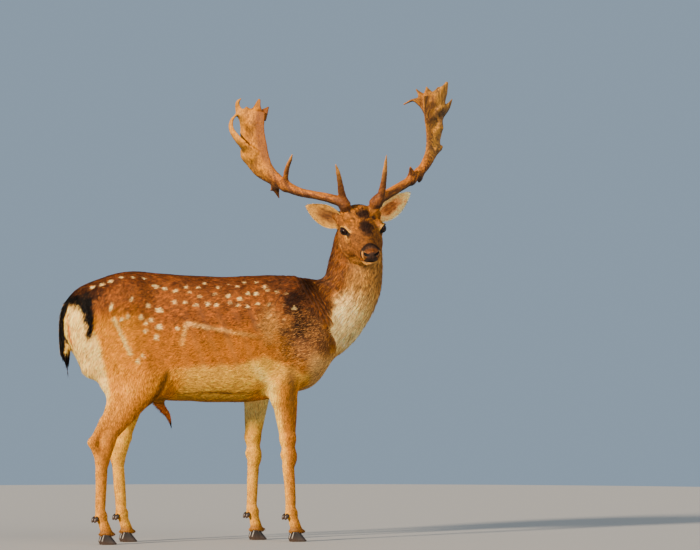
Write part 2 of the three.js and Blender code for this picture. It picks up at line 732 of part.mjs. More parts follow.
function addTrunk() {
  let trunk = meshField(flesh, [-560, -230, 420], [520, 230, 950], [46, 36, 36], 6);
  trunk = trunk.subtract(beyond(...moved(NECK_CUT, -GAP / 2)));
  for (const [, side] of SIDES) trunk = trunk.subtract(hindRoom(side, GAP)).subtract(foreRoom(side, GAP));
  add("trunk", trunk.subtract(tail(GAP)).subtract(sheath(GAP)), COLOURS.coat);
  add("tail", tail(0), COLOURS.tail);
  add("sheath", sheath(0), COLOURS.coat);
}

function addNeck() {
  const neck = meshField(flesh, [330, -190, 560], [690, 150, 1200], [34, 28, 34], 3)
    .intersect(beyond(...moved(NECK_CUT, GAP / 2)))
    .subtract(beyond(...moved(HEAD_CUT, -GAP / 2)));
  add("neck", neck, COLOURS.coat);
}

/** The opening between the eyelids: a short almond-shaped bar looking out of the eye. */
function eyeSlit(side) {
  const shape = new THREE.Shape()
    .moveTo(-16, 0)
    .quadraticCurveTo(0, 20, 16, 0)
    .quadraticCurveTo(0, -17, -16, 0);
  const bar = new THREE.ExtrudeGeometry(shape, { depth: 60, bevelEnabled: false, curveSegments: 5 });
  const out = new THREE.Vector3(0.62, side * 0.78, 0.1).normalize();
  const turn = new THREE.Matrix4().lookAt(out, new THREE.Vector3(), new THREE.Vector3(0.25, 0, 1));
  return solidFrom(bar, turn.setPosition(vec(mirror(EYE.at, side))));
}

function addHead() {
  const field = (p) => flesh(p.clone().applyMatrix4(headFrame));
  let head = meshField(field, [-150, -130, -120], [182, 130, 120], [13, 13, 13], 2);
  const eyeball = (side, grow) => {
    const place = new THREE.Matrix4().setPosition(vec(mirror(EYE.at, side)));
    return solidFrom(new THREE.SphereGeometry(EYE.radius + grow, 12, 8), place);
  };
  for (const [name, side] of SIDES) {
    head = head.subtract(eyeball(side, GAP)).subtract(eyeSlit(side));
    const antler = antlerStem(name, side, 3 * GAP);
    const leaf = ear(name, side).subtract(antler);
    head = head.subtract(shaken(leaf, 2 * GAP)).subtract(antler);
    head = head.subtract(shaken(branch(ANTLER[name].brow, side, false), GAP));
    add(`eye_${name}`, turned(eyeball(side, 0)), COLOURS.eye);
    add(`ear_${name}`, turned(leaf), COLOURS.ear);
  }
  add("head", turned(head).intersect(beyond(...moved(HEAD_CUT, GAP / 2))), COLOURS.coat);
}

/** Direction across the palm, from its smooth front edge to its pointed back edge. */
const palmAcross = (side) => [-0.62, side * 0.7, -0.3];

/** Beam and palm of one antler in the head's frame, as one stem. */
function antlerStem(name, side, grow) {
  const { stem, wide, thick } = ANTLER[name];
  const points = stem.map((p) => mirror(p, side));
  return sweep({ points, wide, thick, across: palmAcross(side), rings: 15, sides: 8, grow });
}

/** A branch of an antler; a flat one is thin across the palm. */
function branch({ points, radii }, side, flat) {
  return sweep({
    points: points.map((p) => mirror(p, side)),
    wide: radii,
    thick: radii.map((r) => (flat ? Math.min(r, 3 + r * 0.25) : r)),
    across: flat ? palmAcross(side) : [1, 0, 0],
    rings: points.length + (flat ? 0 : 1),
    sides: 6,
  });
}

function addAntler(name, side) {
  const { stem, palm, brow, trez, spurs, points } = ANTLER[name];
  const whole = antlerStem(name, side, 0);
  const room = antlerStem(name, side, GAP);
  const curve = new THREE.CatmullRomCurve3(stem.map((p) => vec(mirror(p, side))));
  const cut = { point: curve.getPoint(palm).toArray(), normal: curve.getTangent(palm).toArray() };
  const beam = spurs.reduce((sum, spur) => sum.add(branch(spur, side, false)), whole);
  const plate = points.reduce((sum, point) => sum.add(branch(point, side, true)), whole);
  add(`antler_${name}_brow_tine`, turned(branch(brow, side, false).subtract(room)), COLOURS.antler);
  add(`antler_${name}_trez_tine`, turned(branch(trez, side, false).subtract(room)), COLOURS.antler);
  add(`antler_${name}_beam`, turned(beam.subtract(beyond(...moved(cut, -GAP / 2)))), COLOURS.antler);
  const palmOnly = plate.intersect(beyond(...moved(cut, GAP / 2))).simplify(1.3);
  add(`antler_${name}_palm`, turned(palmOnly), COLOURS.antler);
}

/** Upper and lower leg, its two claws and its two dewclaws. The joint is cut level at a height. */
function addLeg(name, side, joints, room, cutHeight, box, cell) {
  let leg = meshField(flesh, ...box, cell, 3).intersect(room(side, 0));
  leg = leg.intersect(beyond([0, 0, cutHeight + GAP / 2], [0, 0, 1]));
  add(`${name}_upper`, leg, COLOURS.coat);
  const [x, y] = joints.foot;
  const reach = [[x - 110, y - 60, 8], [x + 60, y + 60, cutHeight + 40]];
  const joint = beyond([0, 0, cutHeight - GAP / 2], [0, 0, 1]);
  let shin = meshField(flesh, ...reach, SHIN_CELL, 2.5).subtract(joint);
  for (const [which, half] of [["inner", -side], ["outer", side]]) {
    shin = shin.subtract(claw(joints.foot, half, GAP)).subtract(dewclaw(joints.fetlock, half, GAP));
    add(`${name}_hoof_${which}`, claw(joints.foot, half), COLOURS.horn);
    add(`${name}_dewclaw_${which}`, dewclaw(joints.fetlock, half), COLOURS.horn);
  }
  add(`${name}_lower`, shin, COLOURS.pale);
}

function addLegs() {
  for (const [name, side] of SIDES) {
    const [inner, outer] = [0, 250].map((v) => v * side).sort((a, b) => a - b);
    const hindBox = [[-600, inner, 230], [-20, outer, 620]];
    const foreBox = [[60, inner, 200], [400, outer, 570]];
    addLeg(`hind_leg_${name}`, side, HIND[name], hindRoom, HIND_JOINT, hindBox, [22, 18, 26]);
    addLeg(`fore_leg_${name}`, side, FORE[name], foreRoom, FORE_JOINT, foreBox, [18, 16, 26]);
  }
}

addTrunk();
addNeck();
addHead();
for (const [name, side] of SIDES) addAntler(name, side);
addLegs();

// The model's origin is under the middle of its box.
const box = new THREE.Box3().setFromObject(group);
group.position.set(-(box.min.x + box.max.x) / 2, -(box.min.y + box.max.y) / 2, -box.min.z);

export default group;
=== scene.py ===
"""A life-size fallow buck, head turned to its right: one skin, its coat, antlers, ears, eyes and hooves.

The flesh repeats the part's plan in millimetres and is moved onto the part's frame by its eyes.
The lie, length and colour of the hair are functions of the place on the body and the way it faces.
"""

import math

import bpy
import numpy as np
from mathutils import Matrix, Vector


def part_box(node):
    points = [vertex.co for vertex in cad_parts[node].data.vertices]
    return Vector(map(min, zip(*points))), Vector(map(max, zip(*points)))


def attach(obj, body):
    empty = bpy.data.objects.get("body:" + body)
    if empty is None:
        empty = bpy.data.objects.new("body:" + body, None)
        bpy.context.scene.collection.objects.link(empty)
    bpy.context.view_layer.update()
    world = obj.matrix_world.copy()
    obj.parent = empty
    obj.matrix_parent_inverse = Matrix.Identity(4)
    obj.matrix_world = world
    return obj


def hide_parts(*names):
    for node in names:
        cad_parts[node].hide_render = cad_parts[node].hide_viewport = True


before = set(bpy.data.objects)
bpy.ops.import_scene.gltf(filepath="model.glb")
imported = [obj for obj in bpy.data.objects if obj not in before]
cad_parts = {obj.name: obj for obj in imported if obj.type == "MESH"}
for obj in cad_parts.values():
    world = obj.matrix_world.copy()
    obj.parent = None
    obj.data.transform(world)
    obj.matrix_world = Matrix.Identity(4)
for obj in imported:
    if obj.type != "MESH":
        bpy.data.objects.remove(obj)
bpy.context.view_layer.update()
rng = np.random.default_rng(7)  # the coat's random draws

# ---- the plan of the body, in millimetres

FAR = 3000.0  # a distance beyond every shape
SQUARE, EGG = 2.3, 0.16  # the trunk's cross section: its squareness, and how much narrower it is above
TRUNK = np.array(  # stations along x: x, top, bottom, half width
    [
        (-500, 772, 700, 40), (-480, 820, 664, 70), (-440, 856, 622, 100), (-380, 884, 582, 121),
        (-300, 905, 545, 131), (-240, 910, 504, 134), (-160, 903, 478, 141), (-60, 895, 470, 149),
        (60, 890, 466, 150), (160, 893, 468, 142), (240, 895, 480, 129), (320, 886, 500, 110),
        (380, 879, 536, 92), (430, 848, 600, 76), (470, 796, 660, 52),
    ],
    float,
)
NECK = np.array(  # stations: middle x, y, z, depth, width, and how many degrees below x the throat faces
    [
        (330, 0, 676, 122, 98, 0), (446, 0, 748, 119, 90, 0), (519, -4, 846, 102, 79, 8),
        (533, -12, 925, 95, 73, 28), (532, -32, 1000, 85, 70, 55), (522, -58, 1042, 69, 67, 80),
    ],
    float,
)
CHEST = (350, 0, 608), (76, 72, 92)  # middle and radii of the breast's bulge
HEAD_AT = np.array([509.0, -150.0, 1048.0])
HEAD_TURN, HEAD_NOD, HEAD_ROLL = -97.8, 32.0, 4.5
EYE_AT, EYE_RADIUS = np.array([3.0, 60.0, 2.0]), 17.0  # in the head's frame, like the ears and antlers
SIDES = ((-1, "right"), (1, "left"))
LEG_NAMES = ("hind_leg_right", "hind_leg_left", "fore_leg_right", "fore_leg_left")
HIND = {  # hip, stifle, hock, fetlock and foot of each side
    -1: ((-375, -72, 750), (-230, -107, 538), (-388, -88, 318), (-398, -90, 98), (-372, -92, 0)),
    1: ((-356, 72, 750), (-194, 107, 536), (-274, 88, 318), (-264, 90, 98), (-238, 92, 0)),
}
FORE = {  # shoulder, elbow, knee, fetlock and foot of each side
    -1: ((352, -92, 640), (236, -94, 532), (268, -86, 282), (276, -88, 98), (300, -90, 0)),
    1: ((338, 92, 640), (212, 92, 532), (204, 86, 282), (200, 88, 98), (222, 90, 0)),
}
SCAPULA_TOP = (296, 52, 838)
TAIL = [(-446, 0, 816), (-478, 0, 800), (-495, 0, 752), (-496, 0, 690), (-493, 0, 640), (-486, 0, 600)]
TAIL_WIDE, TAIL_THICK = [20, 22, 23, 23, 22, 8], [15, 17, 19, 20, 20, 7]
SHEATH = [(-178, 0, 486), (-154, 0, 456), (-130, 0, 424), (-118, 0, 382)]
SHEATH_RADII = [20, 15, 9, 2]
EAR_REACH = {-1: ((-82, 66, -18), (-150, 166, 9)), 1: ((-82, 72, -5), (-138, 183, 40))}  # root and tip
HEAD_FILLET, HEAD_REACH = 26, 330  # between skull and neck, and how far from the head's middle it matters


# ---- small helpers


def soft(x, low, high):
    """0 below low, 1 above high, smooth between; low may be the larger one."""
    t = np.clip((x - low) / (high - low), 0, 1)
    return t * t * (3 - 2 * t)


def mix(a, b, t):
    """a where t is 0, b where t is 1; colours and vectors mix row by row."""
    a, b, t = np.asarray(a, float), np.asarray(b, float), np.asarray(t, float)
    if any(v.ndim and v.shape[-1] in (3, 4) and v.shape != t.shape for v in (a, b)):
        t = t[..., None]
    return a + (b - a) * t


def hill(x, width):
    """1 where x is 0, falling away over a width or two."""
    return np.exp(-((x / width) ** 2))


def unit(v):
    return v / np.maximum(np.linalg.norm(v, axis=-1, keepdims=True), 1e-9)


def square_to(v, n):
    """What is left of the vectors v without their parts along the unit vectors n."""
    return v - np.sum(v * n, axis=1, keepdims=True) * n


DEEPEN, LEAST = 0.18, 0.45  # how much strong colours are deepened, and the least share of a channel kept
DARK_SHARE = 0.74  # what dark colours are multiplied by


def linear(colour):
    """sRGB 0-255 to linear 0-1, a little deeper because the view softens strong colours."""
    c = np.asarray(colour, float) / 255
    c = np.where(c <= 0.04045, c / 12.92, ((c + 0.055) / 1.055) ** 2.4)
    grey = (c @ np.array([0.3, 0.6, 0.1]))[..., None]
    deep = np.maximum(grey + (c - grey) * (1 + DEEPEN * np.clip(grey / 0.3, 0, 1)), LEAST * c)
    return deep * (DARK_SHARE + (1 - DARK_SHARE) * np.clip(grey / 0.55, 0, 1))


def turn(axis, degrees):
    return np.array(Matrix.Rotation(math.radians(degrees), 3, axis))


HEAD_FRAME = turn("Z", HEAD_TURN) @ turn("Y", HEAD_NOD) @ turn("X", HEAD_ROLL)


def into_head(points):
    return (points - HEAD_AT) @ HEAD_FRAME


def from_head(points):
    return np.asarray(points, float) @ HEAD_FRAME.T + HEAD_AT


def along(values, t):
    """Values evenly spaced over 0..1, joined by straight lines."""
    values = np.asarray(values, float)
    at = np.clip(t, 0, 1) * (len(values) - 1)
    return np.interp(at, np.arange(len(values)), values)


def smooth_curve(points, ts):
    """Centripetal Catmull-Rom curve through the points, at shares ts of its spans."""
    p = np.asarray(points, float)
    p = np.vstack([2 * p[0] - p[1], p, 2 * p[-1] - p[-2]])
    spans = len(p) - 3
    out = []
    for t in np.atleast_1d(ts):
        at = min(max(t, 0.0), 1.0) * spans
        i = min(int(at), spans - 1)
        w = at - i
        a, b, c, d = p[i : i + 4]
        ab, bc, cd = [max(np.linalg.norm(q - r), 1e-4) ** 0.5 for q, r in ((b, a), (c, b), (d, c))]
        t1 = ((b - a) / ab - (c - a) / (ab + bc) + (c - b) / bc) * bc
        t2 = ((c - b) / bc - (d - b) / (bc + cd) + (d - c) / cd) * bc
        c2, c3 = -3 * b + 3 * c - 2 * t1 - t2, 2 * b - 2 * c + t1 + t2
        out.append(b + t1 * w + c2 * w * w + c3 * w**3)
    return np.array(out)


def nearest_station(points, line):
    """The number of the line's point nearest to each point, and the square of its distance."""
    best, nearest = np.full(len(points), np.inf), np.zeros(len(points), int)
    for i, at in enumerate(line):
        away = np.sum((points - at) ** 2, axis=1)
        nearest = np.where(away < best, i, nearest)
        best = np.minimum(best, away)
    return nearest, best


def noise(points, size, seed):
    """Smooth value noise from -1 to 1 over cells of the given size; each seed is another pattern."""
    p = np.asarray(points, float) / size + 100.3 + seed * 17.7
    base = np.floor(p).astype(np.int64)
    w = p - base
    w = w * w * (3 - 2 * w)
    total = np.zeros(len(p))
    for corner in range(8):
        offset = np.array([corner & 1, (corner >> 1) & 1, corner >> 2])
        q = base + offset
        h = (q[:, 0] * 73856093) ^ (q[:, 1] * 19349663) ^ (q[:, 2] * 83492791) ^ (seed * 2654435)
        h = (h ^ (h >> 13)) * 1274126177 & 0x7FFFFFFF
        weight = np.prod(np.where(offset, w, 1 - w), axis=1)
        total += weight * (h % 65536) / 32767.5
    return total - 1


# ---- fields: signed distances of the flesh


def fuse(a, b, k):
    """Smooth union of two distances, with a fillet of about size k."""
    h = np.maximum(k - np.abs(a - b), 0) / k
    return np.minimum(a, b) - h * h * k / 4


def rim(length, ratio):
    """Signed distance of a point length away from the middle, where ratio is 1 on the surface."""
    return length - np.where(ratio > 1e-6, length / np.maximum(ratio, 1e-6), FAR)


class Shape:
    """A smooth body: pieces of (distance function, lowest corner, highest corner), and its fillet."""

    def __init__(self, blend, pieces):
        self.blend, self.pieces = blend, pieces
        self.low = np.min([low for _, low, _ in pieces], axis=0)
        self.high = np.max([high for _, _, high in pieces], axis=0)


def egg(centre, radii, blend):
    c, r = np.array(centre, float), np.array(radii, float)

    def distance(p):
        d = p - c
        return rim(np.linalg.norm(d, axis=1), np.linalg.norm(d / r, axis=1))

    return Shape(blend, [(distance, c - r, c + r)])


def rod(a, b, ra, rb, flat, blend):
    """A tapered rod with round ends, flat times as wide across y as it is deep."""
    a, b = np.array(a, float), np.array(b, float)
    axis = b - a

    def distance(p):
        d = p - a
        t = np.clip(d @ axis / (axis @ axis), 0, 1)
        d = d - t[:, None] * axis
        length = np.linalg.norm(d, axis=1)
        d[:, 1] /= flat
        return rim(length, np.linalg.norm(d, axis=1) / (ra + (rb - ra) * t))

    reach = max(ra, rb) * np.array([1, flat, 1])
    return Shape(blend, [(distance, np.minimum(a, b) - reach, np.maximum(a, b) + reach)])


def trunk_at(x):
    """Top, bottom and half width of the trunk at x, by cubic spans."""
    last = len(TRUNK) - 1
    x = np.clip(x, TRUNK[0, 0], TRUNK[-1, 0])
    i = np.clip(np.searchsorted(TRUNK[:, 0], x, side="right") - 1, 0, last - 1)
    low, high = np.maximum(np.arange(last + 1) - 1, 0), np.minimum(np.arange(last + 1) + 1, last)
    slope = (TRUNK[high] - TRUNK[low]) / (TRUNK[high, :1] - TRUNK[low, :1])
    step = (TRUNK[i + 1, 0] - TRUNK[i, 0])[:, None]
    t = ((x - TRUNK[i, 0]) / step[:, 0])[:, None]
    value = mix(TRUNK[i], TRUNK[i + 1], (t * t * (3 - 2 * t))[:, 0])
    value = value + step * (slope[i] * t * (1 - t) ** 2 - slope[i + 1] * t * t * (1 - t))
    return value[:, 1], value[:, 2], value[:, 3]


def trunk_rise(x, z):
    """How high in the trunk a place is: 1 at its top, -1 at its bottom."""
    top, bottom, _ = trunk_at(x)
    return (z - (top + bottom) / 2) / ((top - bottom) / 2)


def trunk_shape(blend):
    first, last = TRUNK[0, 0], TRUNK[-1, 0]

    def distance(p):
        top, bottom, half = trunk_at(p[:, 0])
        rise = (p[:, 2] - (top + bottom) / 2) / ((top - bottom) / 2)
        side = p[:, 1] / half * (1 + EGG * np.clip(rise, -1, 1))
        ratio = (np.abs(side) ** SQUARE + np.abs(rise) ** SQUARE) ** (1 / SQUARE)
        inside = rim(np.hypot(p[:, 1], p[:, 2] - (top + bottom) / 2), ratio)
        beyond = np.maximum(np.maximum(p[:, 0] - last, first - p[:, 0]), 0)
        return np.where(beyond > 0, np.hypot(np.maximum(inside, 0), beyond), inside)

    width = TRUNK[:, 3].max() + 20
    low = np.array([first, -width, TRUNK[:, 2].min()])
    return Shape(blend, [(distance, low, np.array([last, width, TRUNK[:, 1].max()]))])


def tube(at, tangent, across, wide, thick, blend, cap=None):
    """Ellipses along stations: wide along across, thick across that, with round or pointed ends."""
    side = unit(np.cross(tangent, across))
    cap = thick if cap is None else cap
    pieces = []
    for i in range(len(at) - 1):
        ends = [np.array([v[i], v[i + 1]]) for v in (at, across, side, wide, thick, cap)]
        pieces.append(tube_piece(*ends))
    return Shape(blend, pieces)


def tube_piece(at, across, side, wide, thick, cap):
    axis = at[1] - at[0]

    def distance(p):
        d = p - at[0]
        t = np.clip(d @ axis / (axis @ axis), 0, 1)
        d = d - t[:, None] * axis
        deep = ((d @ across[0]) * (1 - t) + (d @ across[1]) * t) / (wide[0] + (wide[1] - wide[0]) * t)
        flat = ((d @ side[0]) * (1 - t) + (d @ side[1]) * t) / (thick[0] + (thick[1] - thick[0]) * t)
        past = np.abs(d @ axis) / np.linalg.norm(axis) / (cap[0] + (cap[1] - cap[0]) * t)
        return rim(np.linalg.norm(d, axis=1), np.sqrt(deep**2 + flat**2 + past**2))

    reach = max(wide.max(), thick.max())
    return distance, at.min(0) - reach, at.max(0) + reach


def swept(points, wide, thick, across, steps, blend):
    """A tube along a smooth curve through the points, its wide axis kept near across."""
    ts = np.linspace(0, 1, steps + 1)
    at = smooth_curve(points, ts)
    tangent = unit(np.gradient(at, axis=0))
    u = np.broadcast_to(np.array(across, float), at.shape)
    u = unit(square_to(u, tangent))
    return tube(at, tangent, u, along(wide, ts), along(thick, ts), blend)


NECK_STEPS = 28
NECK_T = np.linspace(0, 1, NECK_STEPS + 1)
NECK_LINE = smooth_curve(NECK[:, :3], NECK_T)
NECK_TANGENT = unit(np.gradient(NECK_LINE, axis=0))


def throat_way():
    """Unit vectors from the neck's middle line to its throat, at each station."""
    angle = np.radians(along(NECK[:, 5], NECK_T))
    deep = np.stack([np.cos(angle), -np.sin(angle), 0 * angle], 1)
    return unit(square_to(deep, NECK_TANGENT))


THROAT = throat_way()


def neck_shape(blend):
    depth, width = along(NECK[:, 3], NECK_T), along(NECK[:, 4], NECK_T)
    return tube(NECK_LINE, NECK_TANGENT, THROAT, depth, width, blend, cap=width)


def shifted(place, x=0, z=0, narrow=1.0):
    return (place[0] + x, place[1] * narrow, place[2] + z)


def shank(top, fetlock, foot, upper, lower):
    """From below the hock or knee down: cannon, its tendon, fetlock, pastern and coronet."""
    return [
        rod(top, shifted(fetlock, 0, 30), upper, lower, 0.86, 10),
        rod(shifted(top, -12, -10), shifted(fetlock, -12, 20), 11, 10, 0.8, 8),
        egg(fetlock, (22, 20, 24), 10),
        rod(shifted(fetlock, 2, -8), shifted(foot, -8, 44), 17, 20, 1.02, 10),
        egg(shifted(foot, -6, 36), (29, 22, 11), 8),
    ]


def hind_leg(side):
    hip, stifle, hock, fetlock, foot = HIND[side]
    lean = 0.35 * (hock[0] - HIND[-1][2][0])
    heel = shifted(hock, -37, 24)
    return [
        rod((-300 + lean, 62 * side, 812), (-415 + lean, 64 * side, 770), 84, 74, 0.8, 40),  # croup
        rod(hip, shifted(stifle, -22, 14, 0.96), 118, 78, 0.56, 36),  # thigh
        rod((-440 + lean, 56 * side, 716), (hock[0] + 48, side * 82, 512), 66, 40, 0.66, 34),  # ham
        rod((-436 + lean, 52 * side, 690), (-420 + lean, 64 * side, 598), 54, 42, 0.8, 30),  # seat
        rod(shifted(stifle, -16, -6), shifted(hock, 18, 44), 57, 27, 0.66, 28),  # gaskin
        rod((hock[0] + 54, side * 84, 490), (hock[0] + 11, side * 86, 402), 36, 20, 0.66, 20),
        rod((hock[0] + 7, side * 86, 410), heel, 19, 15, 0.66, 14),  # Achilles tendon
        rod(heel, shifted(hock, -9, -34), 16, 21, 0.7, 14),
        rod(shifted(hock, 16, 30), shifted(hock, -2, -40), 27, 23, 0.74, 14),  # hock
        *shank(shifted(hock, -4, -30), fetlock, foot, 21, 17),
    ]


def fore_leg(side):
    shoulder, elbow, knee, fetlock, foot = FORE[side]
    top = (SCAPULA_TOP[0], SCAPULA_TOP[1] * side, SCAPULA_TOP[2])
    return [
        rod(top, shoulder, 52, 66, 0.52, 40),  # shoulder blade
        rod((top[0] - 30, side * 66, 760), shifted(elbow, -18, 34, 0.96), 74, 50, 0.52, 36),
        rod(shoulder, shifted(elbow, 12, 20), 62, 56, 0.6, 34),  # upper arm
        rod((elbow[0] - 34, 90 * side, elbow[2] + 14), shifted(elbow, -6, -46), 25, 28, 0.7, 20),
        rod(shifted(elbow, 10), shifted(knee, -4, 66), 52, 28, 0.72, 24),  # forearm
        rod(shifted(knee, -4, 66), shifted(knee, -1, 18), 26, 23, 0.82, 12),
        egg(shifted(knee, 2), (26, 23, 34), 12),
        egg(shifted(knee, -20, 10), (9, 9, 16), 10),
        *shank(shifted(knee, 0, -16), fetlock, foot, 20, 16),
    ]


def skull_shapes():
    """Skull, face and jaw in the head's frame."""
    middle = [
        egg((-58, 0, 0), (62, 62, 44), 16),  # brain case
        rod((-52, 0, 8), (26, 0, -3), 42, 36, 1.48, 16),  # forehead
        rod((18, 0, -5), (126, 0, -6), 38, 26, 1, 16),  # bridge of the nose
        egg((136, 0, -6), (30, 37, 25), 12),  # muzzle
        rod((-30, 0, -50), (118, 0, -34), 36, 18, 1.05, 16),  # lower jaw
        egg((130, 0, -40), (26, 26, 17), 8),  # chin
        egg((-8, 0, -82), (60, 57, 52), 24),  # throat
        egg((-102, 0, -28), (50, 56, 50), 24),  # nape
        egg((152, 0, -5), (14, 25, 19), 7),  # nose
    ]
    pairs = []
    for s, _ in SIDES:
        pairs += [
            rod((22, s * 30, -18), (112, s * 14, -14), 30, 22, 1, 14),  # upper jaw
            rod((-38, s * 31, -56), (108, s * 13, -40), 35, 19, 1, 14),  # lower jaw
            egg((-12, s * 42, -54), (60, 29, 48), 16),  # jowl
            egg((128, s * 14, -22), (26, 18, 15), 10),  # upper lip
            egg((0, s * 56, 3), (31, 17, 25), 12),  # eye socket
            rod((30, s * 40, -16), (-72, s * 56, -14), 17, 17, 1, 12),  # cheekbone
            rod((-52, s * 36, 18), (-62, s * 50, 46), 22, 20, 1, 10),  # antler's root
            rod((-80, s * 46, -8), (-108, s * 70, -10), 26, 18, 1, 14),  # ear's root
            egg((150, s * 18, -2), (13, 11, 11), 6),  # wing of the nostril
        ]
    return middle + pairs


TAIL_SHAPE = swept(TAIL, TAIL_WIDE, TAIL_THICK, (0, 1, 0), 14, 12)
SHEATH_SHAPE = swept(SHEATH, SHEATH_RADII, SHEATH_RADII, (0, 1, 0), 8, 16)
BODY = [trunk_shape(30), neck_shape(46), egg(*CHEST, 40)]
for leg_shapes in (hind_leg(-1), hind_leg(1), fore_leg(-1), fore_leg(1)):
    BODY += leg_shapes
BODY += [TAIL_SHAPE, SHEATH_SHAPE]
SKULL = skull_shapes()
MARGIN = 60  # how far past its own box a shape still matters to the fused surface


def within(points, low, high):
    """Numbers of the points in the box from low to high, or less than MARGIN outside it."""
    return np.flatnonzero(np.all((points > low - MARGIN) & (points < high + MARGIN), axis=1))


def field(shapes, points):
    """The fused distance of a list of shapes at loose points."""
    total = np.full(len(points), FAR)
    for shape in shapes:
        near = within(points, shape.low, shape.high)
        if not len(near):
            continue
        p = points[near]
        best = np.full(len(near), FAR)
        for distance, low, high in shape.pieces:
            close = within(p, low, high)
            best[close] = np.minimum(best[close], distance(p[close]))
        total[near] = fuse(total[near], best, shape.blend)
    return total


def with_skull(values, points, reach):
    """Distances of the body at points, with the skull fused on where it is nearer than reach."""
    local = into_head(points)
    near = np.flatnonzero(np.linalg.norm(local, axis=1) < reach)
    values[near] = fuse(values[near], field(SKULL, local[near]), HEAD_FILLET)
    return values


def flesh(points):
    """Signed distance to the outside of the coat, negative inside."""
    return with_skull(field(BODY, points), points, HEAD_REACH)


def slope_of(distance, points, step=0.6):
    """The gradient of a distance function at points, by differences of step each way."""
    found = []
    for k in range(3):
        shift = np.zeros(3)
        shift[k] = step
        found.append(distance(points + shift) - distance(points - shift))
    return np.stack(found, 1) / (2 * step)


def settle(distance, points, rounds=2):
    """Points moved along the slope onto the surface, and the surface's normals there."""
    for _ in range(rounds):
        slope = slope_of(distance, points)
        steep = np.maximum(np.sum(slope * slope, axis=1), 0.05)
        points = points - slope * np.clip(distance(points) / steep, -5, 5)[:, None]
    return points, unit(slope_of(distance, points))


# ---- meshes from fields


GRID_MARGIN = 30  # how far past its own box a shape is worked out on a grid


def grid_values(shapes, low, high, cell, extra=None):
    """Fused distances on a grid from low to high; extra is (corner, corner, function) of a last change."""
    count = [int(c) for c in np.ceil((high - low) / cell)]
    axes = [low[k] + cell * np.arange(count[k]) for k in range(3)]
    values = np.full(count, FAR, np.float32)

    def window(a, b):
        first = [int(np.clip(np.floor((a[k] - low[k]) / cell), 0, count[k])) for k in range(3)]
        last = [int(np.clip(np.ceil((b[k] - low[k]) / cell) + 1, 0, count[k])) for k in range(3)]
        return tuple(slice(f, e) for f, e in zip(first, last))

    def spots(win):
        grid = np.meshgrid(*[axes[k][win[k]] for k in range(3)], indexing="ij")
        return np.stack([g.ravel() for g in grid], 1), grid[0].shape

    for shape in shapes:
        whole = window(shape.low - GRID_MARGIN, shape.high + GRID_MARGIN)
        size = [s.stop - s.start for s in whole]
        if min(size) <= 0:
            continue
        best = np.full(size, FAR, np.float32)
        for distance, a, b in shape.pieces:
            win = window(a - GRID_MARGIN, b + GRID_MARGIN)
            if min(s.stop - s.start for s in win) <= 0:
                continue
            p, form = spots(win)
            part = tuple(slice(s.start - w.start, s.stop - w.start) for s, w in zip(win, whole))
            best[part] = np.minimum(best[part], distance(p).reshape(form))
        values[whole] = fuse(values[whole], best, shape.blend)
    if extra is not None:
        a, b, function = extra
        win = window(a, b)
        p, form = spots(win)
        values[win] = function(values[win].ravel(), p).reshape(form)
    return values


def surface(values, low, cell):
    """Vertices and triangles where the values change sign, one vertex in each crossed cell."""
    inside = values < 0
    n = np.array(values.shape) - 1
    corner = [(i & 1, (i >> 1) & 1, i >> 2) for i in range(8)]
    views = [inside[a : a + n[0], b : b + n[1], c : c + n[2]] for a, b, c in corner]
    crossed = np.logical_or.reduce(views) & ~np.logical_and.reduce(views)
    cells = np.argwhere(crossed)
    number = np.full(n, -1, np.int32)
    number[tuple(cells.T)] = np.arange(len(cells))
    total, hits = np.zeros((len(cells), 3)), np.zeros(len(cells))
    for i in range(8):
        for j in range(i + 1, 8):
            a, b = np.array(corner[i]), np.array(corner[j])
            if np.abs(a - b).sum() != 1:
                continue
            va, vb = values[tuple((cells + a).T)], values[tuple((cells + b).T)]
            use = (va < 0) != (vb < 0)
            t = np.where(use, va / np.where(va == vb, 1, va - vb), 0)
            total += use[:, None] * (a + (b - a) * t[:, None])
            hits += use
    points = low + cell * (cells + total / np.maximum(hits, 1)[:, None])
    quads = []
    for axis in range(3):
        u, v = np.eye(3, dtype=int)[(axis + 1) % 3], np.eye(3, dtype=int)[(axis + 2) % 3]
        here = [slice(1, -1)] * 3
        there = list(here)
        there[axis] = slice(2, None)
        here, there = tuple(here), tuple(there)
        change = inside[here] != inside[there]
        at = np.argwhere(change) + 1
        ring = [number[tuple((at - du * u - dv * v).T)] for du, dv in ((1, 1), (0, 1), (0, 0), (1, 0))]
        quad = np.stack(ring, 1)
        out = ~inside[tuple(at.T)]
        quad[out] = quad[out][:, ::-1]
        quads.append(quad[(quad >= 0).all(1)])
    quads = np.vstack(quads)
    return points, np.vstack([quads[:, [0, 1, 2]], quads[:, [0, 2, 3]]])


